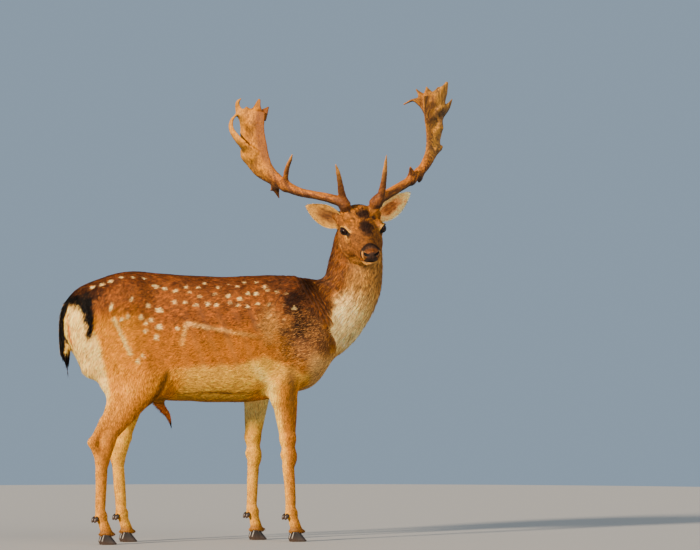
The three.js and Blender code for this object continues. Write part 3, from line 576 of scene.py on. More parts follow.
def refine(points, faces, chosen):
    """Splits every edge whose middle is chosen, and the triangles on it."""
    n = len(points)
    ends = np.sort(np.stack([faces, np.roll(faces, -1, axis=1)], 2), axis=2)
    key, inverse = np.unique(ends[..., 0].astype(np.int64) * n + ends[..., 1], return_inverse=True)
    middle = (points[key // n] + points[key % n]) / 2
    split = chosen(middle)
    number = np.where(split, np.cumsum(split) - 1 + n, -1)[inverse.reshape(-1, 3)]
    count = (number >= 0).sum(1)
    out = [faces[count == 0]]
    f, m = faces[count == 3], number[count == 3]
    for k in range(3):
        out.append(np.stack([f[:, k], m[:, k], m[:, k - 1]], 1))
    out.append(m)
    for k in range(3):
        one = (count == 1) & (number[:, k] >= 0)
        f, m = np.roll(faces[one], -k, axis=1), number[one, k]
        out += [np.stack([f[:, 0], m, f[:, 2]], 1), np.stack([m, f[:, 1], f[:, 2]], 1)]
        two = (count == 2) & (number[:, k] < 0)
        f, m = np.roll(faces[two], -k, axis=1), np.roll(number[two], -k, axis=1)
        out.append(np.stack([f[:, 2], m[:, 2], m[:, 1]], 1))
        out.append(np.stack([m[:, 2], f[:, 0], f[:, 1]], 1))
        out.append(np.stack([m[:, 2], f[:, 1], m[:, 1]], 1))
    return np.vstack([points, middle[split]]), np.vstack(out)


# ---- where on the body a point is


def neck_place(p):
    """Share along the neck from chest (0) to skull (1), how far it faces the throat (-1..1), and its way."""
    nearest, _ = nearest_station(p, NECK_LINE)
    out = square_to(p - NECK_LINE[nearest], NECK_TANGENT[nearest])
    return nearest / NECK_STEPS, np.sum(unit(out) * THROAT[nearest], axis=1), NECK_TANGENT[nearest]


def head_share(p):
    """1 on the head, 0 on the neck and body."""
    local = into_head(p)
    ahead = (local - (-88, 0, -50)) @ np.array([0.8, 0, 0.6])
    return soft(ahead, -16, 12) * soft(np.linalg.norm(local, axis=1), 218, 196)


def neck_share(p):
    """1 on the neck and the head, 0 behind the shoulder."""
    ahead = (p - (412, 0, 760)) @ unit(np.array([0.86, 0, 0.51]))
    return soft(ahead, -70, 40) * soft(p[:, 2], 560, 680)


def leg_share(p):
    """1 on the legs, to where they leave the trunk."""
    x, y, z = p.T
    hind = soft(x, -90, -150) * soft(np.abs(y), 40, 66)
    fore = soft(x, 120, 170) * soft(x, 372, 340) * soft(np.abs(y), 40, 62)
    return np.maximum(np.maximum(hind * soft(z, 640, 520), fore * soft(z, 570, 500)), soft(z, 470, 430))


THIGH_FRONT = (430, 500, 560, 620, 700), (-300, -232, -180, -150, -130)  # heights, and x of its front edge


def thigh_share(p):
    """1 on the outer thigh, where the belly's colour stops."""
    x, y, z = p.T
    front = np.interp(z, *THIGH_FRONT)
    return soft(x, front + 22, front - 22) * soft(np.abs(y), 48, 78) * soft(z, 760, 640)


def near_line(p, a, b):
    """Distance to the line from a to b seen from the side, and the share along it; a and b are (x, z)."""
    a, b = np.array(a, float), np.array(b, float)
    d = p[:, (0, 2)] - a
    t = np.clip(d @ (b - a) / ((b - a) @ (b - a)), 0, 1)
    return np.linalg.norm(d - t[:, None] * (b - a), axis=1), t


def to_left(q):
    """Places in the head's frame, those on its right side mirrored to the left."""
    return np.stack([q[:, 0], np.abs(q[:, 1]), q[:, 2]], 1)


def along_curve(points, a, u):
    """Distance from (a, u) to a curve of straight spans."""
    best = np.full(len(a), FAR)
    for first, last in zip(points[:-1], points[1:]):
        step = np.subtract(last, first)
        t = np.clip(((a - first[0]) * step[0] + (u - first[1]) * step[1]) / (step @ step), 0, 1)
        best = np.minimum(best, np.hypot(a - first[0] - t * step[0], u - first[1] - t * step[1]))
    return best


def spot(p, centre, radii):
    """1 at the centre of a soft ellipsoid and 0 outside it."""
    return soft(np.linalg.norm((p - centre) / radii, axis=1), 1.15, 0.55)


# ---- markings

# Colours as sRGB from 0 to 255.
BACK, UPPER, FLANK, HAUNCH = (98, 52, 25), (142, 84, 44), (174, 108, 38), (213, 140, 42)
BELLY, WHITE, BLACK, SPOT = (216, 164, 82), (255, 206, 136), (8, 5, 4), (246, 208, 150)
WITHERS, GRIZZLE, SHOULDER, SHOULDER_PALE = (44, 22, 10), (190, 142, 92), (110, 70, 40), (190, 138, 82)
SADDLE_END, CROUP, CROUP_FLECK, BREAST = (96, 50, 22), (44, 22, 11), (196, 126, 64), (200, 156, 104)
BELLY_LINE_AND_SHADE, BELLY_CREASE_SHADE, FLANK_FOLD_SHADE = (118, 76, 40), (112, 74, 38), (92, 58, 30)
NAPE, NECK_SIDE, NECK_DARK, NECK_PALE = (74, 42, 20), (124, 75, 36), (72, 40, 18), (180, 124, 68)
NECK_ROOT, CREASE_SHADE, THROAT_HIGH, THROAT_LOW = (92, 54, 26), (34, 17, 8), (182, 134, 82), (255, 216, 154)
THROAT_FLECK = (140, 90, 48)
LEG_FRONT, LEG_PALE, LEG_LOW, LEG_BACK = (184, 121, 52), (238, 180, 84), (200, 144, 68), (255, 208, 130)
LEG_BROWN, LEG_INNER_LIT, SHIN, PASTERN = (130, 90, 58), (255, 222, 150), (136, 84, 42), (104, 66, 38)
TAIL_SIDE, TAIL_FOLD_SKIN_AND_SHADE, WISP, SHEATH_HAIR = (244, 196, 116), (204, 112, 66), (150, 108, 74), (196, 112, 44)
SHEATH_TIP = (44, 26, 16)
FACE, BROW, CHEEK, CHEEK_PALE = (126, 80, 40), (156, 100, 46), (138, 90, 48), (190, 132, 70)
CROWN_DARK, FACE_FLECK, EAR_ROOT, JAW_PALE_AND_HIGHLIGHT = (34, 19, 13), (90, 54, 26), (196, 146, 84), (178, 124, 72)
CHIN, CHIN_SHADE = (180, 134, 80), (74, 46, 24)
NOSE_ARC, NOSE_STRIP_AND_HIGHLIGHT, NOSE, NOSE_SHEEN = (36, 23, 17), (104, 60, 28), (56, 35, 24), (108, 74, 54)
WING, NOSTRIL_SHADE, UPPER_LIP, LIP_LINE_AND_SHADE = (186, 134, 76), (12, 8, 7), (156, 92, 40), (18, 11, 9)
EYE_RING, LID, LOWER_LID, TEAR = (222, 168, 96), (10, 7, 6), (104, 60, 30), (30, 16, 11)

# Rows of white spots on a side: from (x, z) to (x, z), how many, and their radius.
SPOT_ROWS = [
    (-415, 843, -352, 872, 3, 10),
    (-318, 884, -240, 888, 3, 10),
    (-205, 868, -50, 838, 5, 11),
    (0, 845, 96, 832, 3, 10),
    (-88, 866, 168, 874, 8, 9),
    (-138, 813, 192, 802, 10, 10),
    (118, 838, 186, 860, 3, 10),
    (-293, 817, -197, 791, 3, 14),
    (-376, 788, -331, 750, 2, 13),
    (-309, 766, -227, 756, 3, 14),
    (-248, 733, -145, 716, 3, 13),
    (-256, 710, -213, 699, 2, 13),
    (-284, 628, -262, 640, 2, 10),
    (204, 856, 262, 836, 3, 6.5),
    (208, 806, 282, 786, 3, 5.5),
    (196, 766, 250, 752, 2, 6.5),
]


GIRTH_RADIUS, GIRTH_DEPTH = 150, 170  # the back's roundness, and how far below its top the middle lies


def girth(p):
    """Distance round the trunk from its side, so that a spot on the back keeps its size."""
    top, _, _ = trunk_at(p[:, 0])
    return GIRTH_RADIUS * np.arctan2(p[:, 2] - top + GIRTH_DEPTH, np.abs(p[:, 1]))


SPOT_STRAY = 7  # mm that a spot lies off its row


def spot_places():
    """Middles (x, girth, side) and radii of all white spots, a little uneven and unlike on the two sides."""
    dice = np.random.default_rng(11)
    places = []
    for side, more in ((-1, 1), (1, 1.8)):
        for x0, z0, x1, z1, count, radius in SPOT_ROWS:
            for i in range(count):
                stray = dice.uniform(-SPOT_STRAY, SPOT_STRAY, 2) * more
                x, z = mix((x0, z0), (x1, z1), np.array(i / (count - 1))) + stray
                top, bottom, half = (v[0] for v in trunk_at(np.array([x])))
                rise = min((z - (top + bottom) / 2) / ((top - bottom) / 2), 0.995)
                y = half * (1 - abs(rise) ** SQUARE) ** (1 / SQUARE)
                around = girth(np.array([[x, y, z]]))[0]
                places.append((x, around, side, radius * dice.uniform(0.75, 1.15)))
    return places


SPOTS = spot_places()
PALE_LINES = [  # from (x, z) to (x, z), how pale, how ragged, where it begins and is full, how it fades
    ((-107, 737), (128, 693), 0.62, 3.5, 11, 3, 0.6),
    ((-107, 739), (-127, 668), 0.62, 3, 10, 3, 0.4),
    ((-366, 757), (-306, 636), 0.8, 2, 9, 4, 0),
]


def white_marks(p):
    """Spots, the pale line of the flank and the streak of the haunch."""
    around, side = girth(p), np.where(p[:, 1] < 0, -1, 1)
    wobble = noise(p, 9, 3) + 0.8 * noise(p, 4, 18)
    mask = np.zeros(len(p))
    for x, middle, which, radius in SPOTS:
        away = np.hypot((p[:, 0] - x) / 0.9, around - middle) + 3.4 * wobble
        mask = np.maximum(mask, soft(away, 0.74 * radius + 2.2, 0.74 * radius - 3.2) * (side == which))
    for first, last, share, ragged, outside, inside, fade in PALE_LINES:
        line, t = near_line(p, first, last)
        mask = np.maximum(mask, share * soft(line + ragged * wobble, outside, inside) * (1 - fade * t))
    return mask * (np.abs(p[:, 1]) > 8) * (p[:, 0] < 330)


WITHERS_PATCH = [  # dark blots over the withers: (x, z), reach along x and z, and how dark
    ((336, 860), (34, 30), 1.0),
    ((280, 806), (60, 54), 1.0),
    ((302, 730), (46, 62), 0.9),
    ((236, 862), (70, 36), 0.45),
    ((318, 828), (46, 46), 0.75),
    ((340, 764), (26, 56), 0.6),
    ((247, 704), (24, 20), 0.45),
]
SHOULDER_TAN, SHOULDER_BROWN = ((190, 728), (56, 74)), ((326, 684), (120, 112))
CROUP_LINE = ((-462, 826), (-372, 874))
BELLY_EDGE = (-520, -172, 63, 163, 230, 320, 400), (560, 590, 592, 632, 600, 560, 600)  # x, and heights


def blot(x, z, centre, reach):
    """1 in the middle of a soft oval seen from the side, 0 far from it."""
    return np.exp(-(((x - centre[0]) / reach[0]) ** 2 + ((z - centre[1]) / reach[1]) ** 2))


def body_colour(p):
    """Back, flanks, shoulder, croup and belly."""
    x, y, z = p.T
    rise = np.clip(trunk_rise(x, z), -1.2, 1.2)
    rough, fine, grain = noise(p, 26, 1), noise(p, 7, 6), noise(p, 4, 7)
    ragged = 0.16 * rough + 0.2 * fine + 0.16 * grain
    c = mix(FLANK, UPPER, soft(rise + 0.1 * rough, -0.15, 0.42))
    c = mix(c, HAUNCH, soft(x, -210, -330) * soft(rise + 0.1 * rough, 0.46, 0.05))
    c = mix(c, BACK, 0.9 * soft(rise + 0.1 * rough + 0.05 * fine, 0.66, 1.0))
    c = mix(c, WITHERS, 0.6 * soft(np.abs(y), 26, 6) * soft(rise, 0.7, 0.95))
    # Shoulder: tan behind, brown in front, dark blots down from the withers.
    c = mix(c, SHOULDER_PALE, 0.8 * soft(blot(x, z, *SHOULDER_TAN) + ragged, 0.3, 0.9))
    c = mix(c, SHOULDER, 0.95 * soft(blot(x, z, *SHOULDER_BROWN) + ragged, 0.25, 0.85))
    c = mix(c, SADDLE_END, 0.7 * soft(x + 30 * ragged, 226, 290) * soft(rise, 0.45, 0.75))
    for centre, reach, share in WITHERS_PATCH:
        c = mix(c, WITHERS, 0.95 * share * soft(blot(x, z, centre, reach) + ragged, 0.34, 0.9))
    # Croup: dark hair over the tail's root.
    line, t = near_line(p, *CROUP_LINE)
    c = mix(c, CROUP, 0.85 * soft(line + 60 * ragged, 30, 6) * (1 - 0.7 * soft(t, 0.3, 1)))
    c = mix(c, CROUP_FLECK, 0.6 * soft(line, 36, 20) * soft(grain + 0.5 * fine, 0.55, 0.8))
    belly = np.interp(x, *BELLY_EDGE)
    under = soft(z + 12 * rough + 4 * fine, belly + 16, belly - 14) * (1 - thigh_share(p))
    c = mix(c, BELLY, under)
    # Dark hair and painted shade along the lowest edge of the belly.
    c = mix(c, BELLY_LINE_AND_SHADE, 0.6 * under * soft(rise, -0.88, -1.02))
    c = mix(c, BREAST, soft(x + 8 * rough, 300, 356) * soft(z + 10 * rough, 660, 606))
    return mix(c, SPOT, white_marks(p))


CREASE_EVERY = 13.5  # mm from one crease of the neck's root to the next


def creases(p):
    """A wave, 1 in the creases of the neck's root and -1 on the folds between them, and where they are."""
    x, _, z = p.T
    facing = neck_place(p)[1]
    wave = np.sin((x + 0.5 * (z - 800) + 5 * noise(p, 40, 41)) * 2 * np.pi / CREASE_EVERY)
    where = hill((x - 382) + 0.5 * (z - 800), 34) * soft(facing, 0.5, 0.15) * soft(z, 700, 760)
    return wave, where


def neck_colour(p):
    """Nape and sides of the neck, and painted shade in the creases of its root."""
    place, facing, _ = neck_place(p)
    rough, fine = noise(p * (1, 1, 0.45), 16, 5), noise(p, 5, 12)
    c = mix(NECK_SIDE, NAPE, 0.85 * soft(facing + 0.1 * rough, -0.6, -0.97))
    c = mix(c, NECK_DARK, 0.8 * soft(fine + 0.3 * rough, 0.2, 0.55))
    c = mix(c, NECK_PALE, 0.6 * soft(noise(p, 4.5, 13), 0.3, 0.65))
    c = mix(c, NECK_ROOT, 0.8 * soft(place, 0.3, 0.12))
    # Painted shade in the creases of the neck's root.
    wave, where = creases(p)
    return mix(c, CREASE_SHADE, 0.95 * soft(wave, 0.1, 0.7) * where)


THROAT_EDGE = (  # place along the neck, and how far round towards the throat the pale hair starts
    (0.11, 0.14, 0.18, 0.30, 0.43, 0.54, 0.61, 0.75, 1.0),
    (0.63, 0.0, -0.38, -0.5, -0.36, -0.2, -0.1, 0.2, 0.4),
)


def throat_colour(c, p, n):
    """The pale throat and breast over the colours of neck and body, with painted shade where the throat faces
    forward.
    """
    place, facing, _ = neck_place(p)
    rough, fine = noise(p * (1, 1, 0.45), 16, 5), noise(p, 5, 12)
    middle = np.interp(place, *THROAT_EDGE)
    pale = mix(THROAT_LOW, THROAT_HIGH, soft(place + 0.05 * rough, 0.22, 0.5))
    pale = mix(pale, THROAT_FLECK, 0.5 * soft(fine, 0.25, 0.65) * soft(place, 0.25, 0.55))
    edge = mix(0.2, 0.34, soft(place, 0.25, 0.6))
    # Painted shade: the pale hair is darker where it faces forward, away from the key light.
    pale = pale * (1 - 0.1 * soft(n[:, 0], 0.55, 0.95))[:, None]
    share = soft(facing + 0.14 * rough + 0.1 * fine, middle - edge, middle + edge)
    return mix(c, pale, share * soft(p[:, 0], 392, 424) * soft(p[:, 2], 600, 668))


def leg_colour(p, n):
    """Pale behind and inside, darker in front and down to the hooves."""
    x, y, z = p.T
    c = mix(HAUNCH, LEG_FRONT, soft(z, 560, 400))
    behind = soft(n[:, 0], -0.1, -0.75) * mix(0.45, 1.0, soft(x, 0, 60))
    c = mix(c, LEG_PALE, 0.85 * np.maximum(behind, soft(n[:, 1] * np.sign(y), 0.1, -0.6)))
    c = mix(c, SHIN, 0.45 * soft(n[:, 0], 0.45, 0.95) * soft(z, 470, 400) * soft(x, 0, 60))
    c = mix(c, LEG_LOW, 0.45 * soft(z, 330, 120))
    return mix(c, PASTERN, 0.6 * soft(z, 62, 44))


PALE_BACK = (400, 450, 530, 570, 610), (208, 196, 191, 153, 120)  # heights, and x of the foreleg's pale band


def fold_colour(c, p, n):
    """Pale bands and brown fronts of the upper forelegs, painted light on the far foreleg's inner side,
    painted shade in the flank's fold, and painted shade along the crease of the belly.
    """
    x, y, z = p.T
    rough = noise(p, 14, 51)
    right_elbow, left_elbow = FORE[-1][1][0], FORE[1][1][0]
    x_leg = x + (right_elbow - left_elbow) * (y > 0)
    outer = soft(np.abs(y), 64, 92)
    pale = hill(x_leg - np.interp(z, *PALE_BACK) + 4 * rough, 25) * soft(z, 350, 420) * soft(z, 615, 575)
    c = mix(c, LEG_BACK, 0.9 * pale * outer)
    brown = hill(x_leg - 264 + 6 * rough, 23) * soft(z, 390, 480) * soft(z, 610, 550)
    c = mix(c, LEG_BROWN, 0.7 * brown * outer)
    # Painted light: the far foreleg's inner side, in the trunk's shadow, is brightened as if the sun reached
    # it.
    inner = (y > 0) * soft(n[:, 1], 0.1, -0.4) * soft(x, 120, 160) * soft(z, 360, 430)
    c = mix(c, LEG_INNER_LIT, 0.85 * inner * (z < 600))
    # Painted shade in the fold between the thigh and the belly.
    line, t = near_line(p, (-168, 590), (-229, 474))
    c = mix(c, FLANK_FOLD_SHADE, 0.62 * soft(line + 3 * rough, 19, 2) * soft(np.abs(y), 60, 90) * soft(t, 0, 0.2))
    # Painted shade along the crease at the bottom of the belly, broken into pieces.
    line, t = near_line(p, (-96, 503), (160, 500))
    broken = soft(noise(p * (0.4, 1, 1), 12, 52), -0.5, 0.1)
    return mix(c, BELLY_CREASE_SHADE, 0.65 * soft(line + 2.5 * rough, 7, 1.5) * broken * soft(z, 540, 520))


# Heights, and x there: the front edge of the white rump, and both edges of its black border.
RUMP_FRONT = (440, 514, 630, 700, 790, 830), (-380, -368, -397, -421, -470, -500)
BORDER_BACK = (684, 730, 764, 800, 830), (-446, -456, -464, -482, -520)
BORDER_FRONT = (684, 700, 764, 800, 832), (-444, -438, -433, -440, -434)


def rump_colour(c, p):
    """White rump with its black border."""
    x, _, z = p.T
    rough, fine = 4 * noise(p, 12, 8), 3 * noise(p * (1, 1, 0.4), 4, 14)
    front = np.interp(z, *RUMP_FRONT)
    c = mix(c, WHITE, soft(x + rough, front + 6, front - 8) * soft(z, 430, 500) * soft(z, 816, 796))
    ragged = x + rough + fine
    back, front = np.interp(z, *BORDER_BACK), np.interp(z, *BORDER_FRONT)
    band = soft(ragged, back - 6, back + 3) * soft(ragged, front + 6, front - 4)
    return mix(c, BLACK, band * soft(z + fine, 680, 694) * soft(z + 3 * rough, 846, 822))


TAIL_FOLD = (660, 690, 730, 775), (60, 70, 76, 54)  # heights, and how far out the tail's bare fold is


def tail_colour(c, p, n):
    """White sides, a black stripe behind with a thin pale edge, and a black end."""
    close = soft(field([TAIL_SHAPE], p), 8, 1) * soft(p[:, 2], 812, 800)
    fine = 0.16 * noise(p * (1, 1, 0.3), 5, 15)
    stripe = soft(n[:, 0] + fine, -0.3, -0.55) * soft(n[:, 1] + fine, 0.46, 0.24)
    end = soft(p[:, 2] + 40 * fine, 656, 630)
    out = np.abs(p[:, 1]) - np.interp(p[:, 2], *TAIL_FOLD) + 10 * fine
    here = soft(p[:, 0], -446, -466) * soft(p[:, 2], 648, 668) * soft(p[:, 2], 792, 766)
    c = mix(c, TAIL_SIDE, 0.8 * here * soft(out, 2, -4))
    # Pinkish skin and painted shade along the fold beside the tail.
    c = mix(c, TAIL_FOLD_SKIN_AND_SHADE, 0.85 * here * hill(out, 5.0))
    return mix(c, mix(TAIL_SIDE, BLACK, np.maximum(stripe, end)), close)


# In the head's frame f is forward, l to the left, a the distance from the middle plane and u up.
NOSTRIL_AT = (18.5, 1.8)  # a and u
WING_CURVE = [(22, 9.5), (29, 7), (32, 1), (29, -9), (24, -20)]


def nostril(a, u):
    """0 in the middle of the nostril, 1 at its edge: a comma leaning out and up."""
    a, u = a - NOSTRIL_AT[0], u - NOSTRIL_AT[1]
    long, wide = a * 0.94 + u * 0.34, -a * 0.34 + u * 0.94
    return np.hypot(long / 10.0, (wide - 0.03 * long**2) / 5.4)


def mouth_height(f):
    """Height of the mouth's line, which sinks towards the cheek."""
    return -32.5 - 0.5 * np.maximum(146 - f, 0)


PAD_HALF = (-35, -27, -14, -3, 6, 11), (22, 23, 19, 15, 13, 6)  # heights, and half widths of the nose's pad


def pad_share(f, a, u):
    """The bare wet skin of the nose."""
    half, mouth = np.interp(u, *PAD_HALF), mouth_height(f)
    inside = soft(a, half + 1.2, half - 1.2) * soft(u, 12, 8) * soft(u, mouth - 1, mouth + 2)
    return inside * soft(f, 142, 148)


JAW_EDGE = (-60, 0, 60, 120), (-78, -90, -80, -58)  # heights of the jaw's lower edge along the head


def head_cover(q):
    """Where the head's own colours hold: not below the jaw or behind it, where the neck's do."""
    f, u = q[:, 0], q[:, 2]
    edge = np.interp(f, *JAW_EDGE)
    under = soft(u + 4 * noise(q, 9, 21), edge - 20, edge - 7)
    return np.maximum(under, soft(f, 84, 100)) * soft(f + 0.4 * u, -108, -72)


CROWN_STREAKS = (  # middles and radii of dark streaks behind and beside the forehead's patches
    ((-49, -40, 50), (16, 9, 16)),
    ((-74, -24, 41), (18, 9, 16)),
    ((-15, 38, 31), (10, 7, 12)),
)


def crown_colour(c, q, rough, fine):
    """Dark hair of the forehead: a kite below, a smaller patch above, broken streaks round them."""
    f, l, u = q.T
    ragged = rough * 5 + fine * 5
    kite = np.hypot((f - 38) / np.where(f < 38, 36, 46), (l - 3) / np.interp(f, [0, 30, 84], [24, 30, 15]))
    c = mix(c, CROWN_DARK, 0.9 * soft(kite + 0.05 * ragged, 1.24, 0.4) * soft(u, 2, 12))
    upper = np.hypot((f + 24) / 20, (l - 4) / 23)
    c = mix(c, CROWN_DARK, 0.9 * soft(upper + 0.08 * ragged, 1.25, 0.45) * soft(u, 14, 24))
    speckled = soft(np.hypot((f + 12) / 62, (l - 4) / 44), 1.1, 0.5) * soft(u, 10, 22)
    c = mix(c, CROWN_DARK, 0.85 * speckled * soft(fine + 0.4 * rough, 0.22, 0.5))
    for place, size in CROWN_STREAKS:
        c = mix(c, CROWN_DARK, 0.75 * spot(q + ragged[:, None], place, size))
    behind = soft(noise(q * (0.5, 1, 1), 6, 23), 0.3, 0.6) * soft(f, -38, -56) * soft(u, 24, 40)
    return mix(c, CROWN_DARK, 0.6 * behind)


def muzzle_colour(c, f, a, u, rough):
    """A dark arc over the nose with a painted sheen on its top, a bright strip that is partly painted
    highlight, the wings of the nostrils, painted shade in their holes, the wet pad, lips with painted shade
    between them, the chin and painted shade under it.
    """
    bend = 0.016 * a * a
    arc = soft(f + 1.5 * rough, 114 + bend, 123 + bend) * soft(u, -32, -22)
    c = mix(c, NOSE_ARC, 0.92 * arc * soft(f, 166, 140))
    c = mix(c, NOSE_SHEEN, 0.5 * arc * soft(f, 130, 142) * soft(a, 22, 8) * soft(u, 0, 10))
    mouth = mouth_height(f)
    c = mix(c, UPPER_LIP, soft(f, 118, 134) * soft(u, -18, -25) * soft(u, mouth - 2, mouth))
    # A strip of hair over the pad, partly its own colour and partly a painted highlight.
    c = mix(c, NOSE_STRIP_AND_HIGHLIGHT, soft(f, 146, 151) * soft(u, 6, 9) * soft(a, 30, 22))
    c = mix(c, NOSE, pad_share(f, a, u))
    c = mix(c, WING, 0.85 * soft(along_curve(WING_CURVE, a, u), 2.2, 0.8) * soft(f, 138, 144))
    # Painted shade inside the nostrils.
    c = mix(c, NOSTRIL_SHADE, soft(nostril(a, u), 1.1, 0.85) * soft(f, 138, 144))
    below = mouth - u
    c = mix(c, CHIN, soft(below, 0, 3) * soft(below, 24, 14) * soft(f, 84, 112))
    # Painted shade under the chin.
    c = mix(c, CHIN_SHADE, 0.85 * soft(below, 15, 24) * soft(f, 92, 112) * soft(below, 52, 36))
    # Dark lip edges and painted shade in the line between the lips.
    return mix(c, LIP_LINE_AND_SHADE, 0.95 * hill(below, 1.9) * soft(f, 100, 112))


def head_colour(q):
    """Colours of the head at places q in its own frame."""
    left = to_left(q)
    f, a, u = left.T
    rough, fine = noise(q, 9, 21), noise(q, 3.6, 22)
    c = mix(FACE, BROW, soft(u + 3 * rough, 0, 26) * soft(f, 80, 10))
    c = mix(c, CHEEK, 0.85 * soft(u + 6 * rough, -16, -44) * soft(f, 128, 90))
    c = mix(c, CHEEK_PALE, 0.75 * spot(left + 4 * rough[:, None], (20, 54, -20), (34, 26, 16)))
    c = mix(c, FACE_FLECK, 0.5 * soft(fine + 0.3 * rough, 0.25, 0.6) * soft(u, 40, 16))
    # Pale hair along the jaw's lower edge, partly a painted highlight where light catches the jaw.
    edge = np.interp(f, *JAW_EDGE)
    c = mix(c, JAW_PALE_AND_HIGHLIGHT, soft(u + 5 * rough, edge + 9, edge - 3))
    c = mix(c, EAR_ROOT, 0.8 * spot(left, (-104, 74, -10), (26, 20, 24)))
    c = crown_colour(c, q, rough, fine)
    return eye_colour(muzzle_colour(c, f, a, u, rough), left)


EYE_OUT, EYE_UP = (0.70, 0.70, 0.12), (-0.04, -0.26, 1.0)  # the ways the left eye looks and its top points
EYE_HALF = 17.5  # half the opening's width


def eye_axes(side=1):
    """The ways across to the nose, up and out of an eye, in the head's frame."""
    out = unit(np.array(EYE_OUT))
    up = np.array(EYE_UP)
    up = unit(up - out * (out @ up))
    return np.stack([np.cross(out, up), up, out]) * (1, side, 1)


def eye_place(left):
    """Across to the nose, up and out from the left eye's middle."""
    return ((left - EYE_AT) @ eye_axes().T).T


def on_lids(left):
    """Across, up and out once a place is drawn onto the lids' ball, and its distance from the middle."""
    d = left - EYE_AT
    radius = np.maximum(np.linalg.norm(d, axis=1), 1e-6)
    return (*eye_place(EYE_AT + d / radius[:, None] * (EYE_RADIUS + 2)), radius)


def lid_edge(across):
    """Heights of the upper and the lower lid over the middle of the eye, along the opening."""
    t = np.clip(1 - (across / EYE_HALF) ** 2, 0, 1)
    return 11.4 * t**0.75, 9.4 * t**0.85


def beyond_eye(across, up):
    """How far outside the opening a place is, 0 within it."""
    upper, lower = lid_edge(across)
    past = np.where(up > 0, up - upper, -up - lower)
    return np.hypot(np.maximum(past, 0), np.maximum(np.abs(across) - EYE_HALF, 0))


def tear_slit(across, up):
    """Distance to the groove that runs from the eye's front corner towards the nose."""
    return np.hypot(np.maximum(across - 26, 0), up + 1.0 + 0.22 * np.maximum(across - 14, 0))


def eye_colour(c, left):
    """A pale ring, dark lids and the dark groove in front of the eye."""
    across, up, out, radius = on_lids(left)
    beyond = beyond_eye(across, up)
    here = soft(out, 0, 3) * soft(radius, 42, 30)
    c = mix(c, EYE_RING, 0.9 * soft(beyond, 7.5, 4) * here)
    c = mix(c, LOWER_LID, 0.5 * soft(beyond, 4.5, 2.6) * here * (up < 0))
    c = mix(c, LID, soft(beyond, 2.6, 1.5) * here)
    across, up, out = eye_place(left)
    groove = soft(tear_slit(across, up), 2.5, 1.0) * soft(across, 13, 16) * soft(out, 0, 5)
    return mix(c, TEAR, 0.85 * groove)


def coat_colour(p, n):
    """The colour of the coat and the skin under it, 0-255, at places p that face n."""
    legs, neck, head = leg_share(p), neck_share(p), head_share(p)
    c = throat_colour(mix(body_colour(p), neck_colour(p), neck), p, n)
    c = fold_colour(mix(c, leg_colour(p, n), legs), p, n)
    c = tail_colour(rump_colour(c, p), p, n)
    sheath = mix(SHEATH_HAIR, SHEATH_TIP, soft(p[:, 2] + 14 * noise(p * (1, 1, 0.2), 4, 16), 420, 398))
    c = mix(c, sheath, soft(field([SHEATH_SHAPE], p), 10, 2) * soft(p[:, 2], 480, 450))
    some = np.flatnonzero(head > 0)
    q = into_head(p[some])
    c[some] = mix(c[some], head_colour(q), head[some] * head_cover(q))
    # The back, shoulder, neck and face are speckled, the belly and legs more even.
    top, bottom, _ = trunk_at(p[:, 0])
    middle = (top + bottom) / 2
    speckle = mix(soft(p[:, 2], middle - 30, middle + 80), 0.8, neck)
    speckle = mix(speckle, 0.7, head) * (1 - legs)
    clumps = (0.09 + 0.19 * speckle) * noise(p, 7.5, 2) + (0.08 + 0.19 * speckle) * noise(p, 4, 17)
    clumps = np.clip(clumps + 0.05 * noise(p, 40, 4), -0.5, 0.45)
    return c * (1 + clumps)[:, None]


# ---- the lie and the length of the coat


def lie_of_coat(p, n):
    """The way the hair lies, along the surface."""
    x, y, z = p.T
    zero = np.zeros(len(p))
    down = -0.3 * soft(np.abs(y), 20, 90) * soft(trunk_rise(x, z), -0.9, -0.3)
    way = np.stack([zero - 1, 0.1 * np.sign(y), down], 1)
    way = mix(way, (-0.45, 0, -0.9), soft(x, -250, -430))
    along_neck = -neck_place(p)[2] + np.stack([zero - 0.25, zero, zero - 0.1], 1)
    way = mix(way, along_neck, neck_share(p))
    way = mix(way, (-0.3, 0, -0.95), soft(x, 340, 400) * soft(z, 720, 640))
    way = mix(way, (-0.12, 0, -1), leg_share(p))
    q = into_head(p)
    home = np.stack([zero - 1, 0.25 * np.sign(q[:, 1]), -0.35 * soft(q[:, 2], 20, -30)], 1)
    way = mix(way, home @ HEAD_FRAME.T, head_share(p) * head_cover(q))
    way = mix(way, (0.45, 0, -0.9), creases(p)[1])
    way = mix(way, (-0.05, 0, -1), soft(field([TAIL_SHAPE], p), 10, 2) * soft(z, 815, 790))
    way = way + 0.12 * np.stack([noise(p, 30, s) for s in (31, 32, 33)], 1)
    return unit(square_to(way, n))


HAIR = {  # lengths of the tufts, in mm
    "side": 12.5, "belly": 19.0, "nape": 19.0, "throat": 24.0, "crease": 9.0, "tail": 9.0, "rump": 20.0,
    "shank": 7.0, "thigh": 13.0, "face": 5.0, "muzzle": 3.0, "crown": 10.0, "jaw": 14.0,
}
LIFT = {"side": 5.0, "neck": 5.5, "leg": 6.0, "head": 8.0}  # in degrees
DEPTH = {"side": 3.4, "neck": 4.4, "leg": 1.9, "head": 2.6, "muzzle": 0.8}  # of the coat, in mm


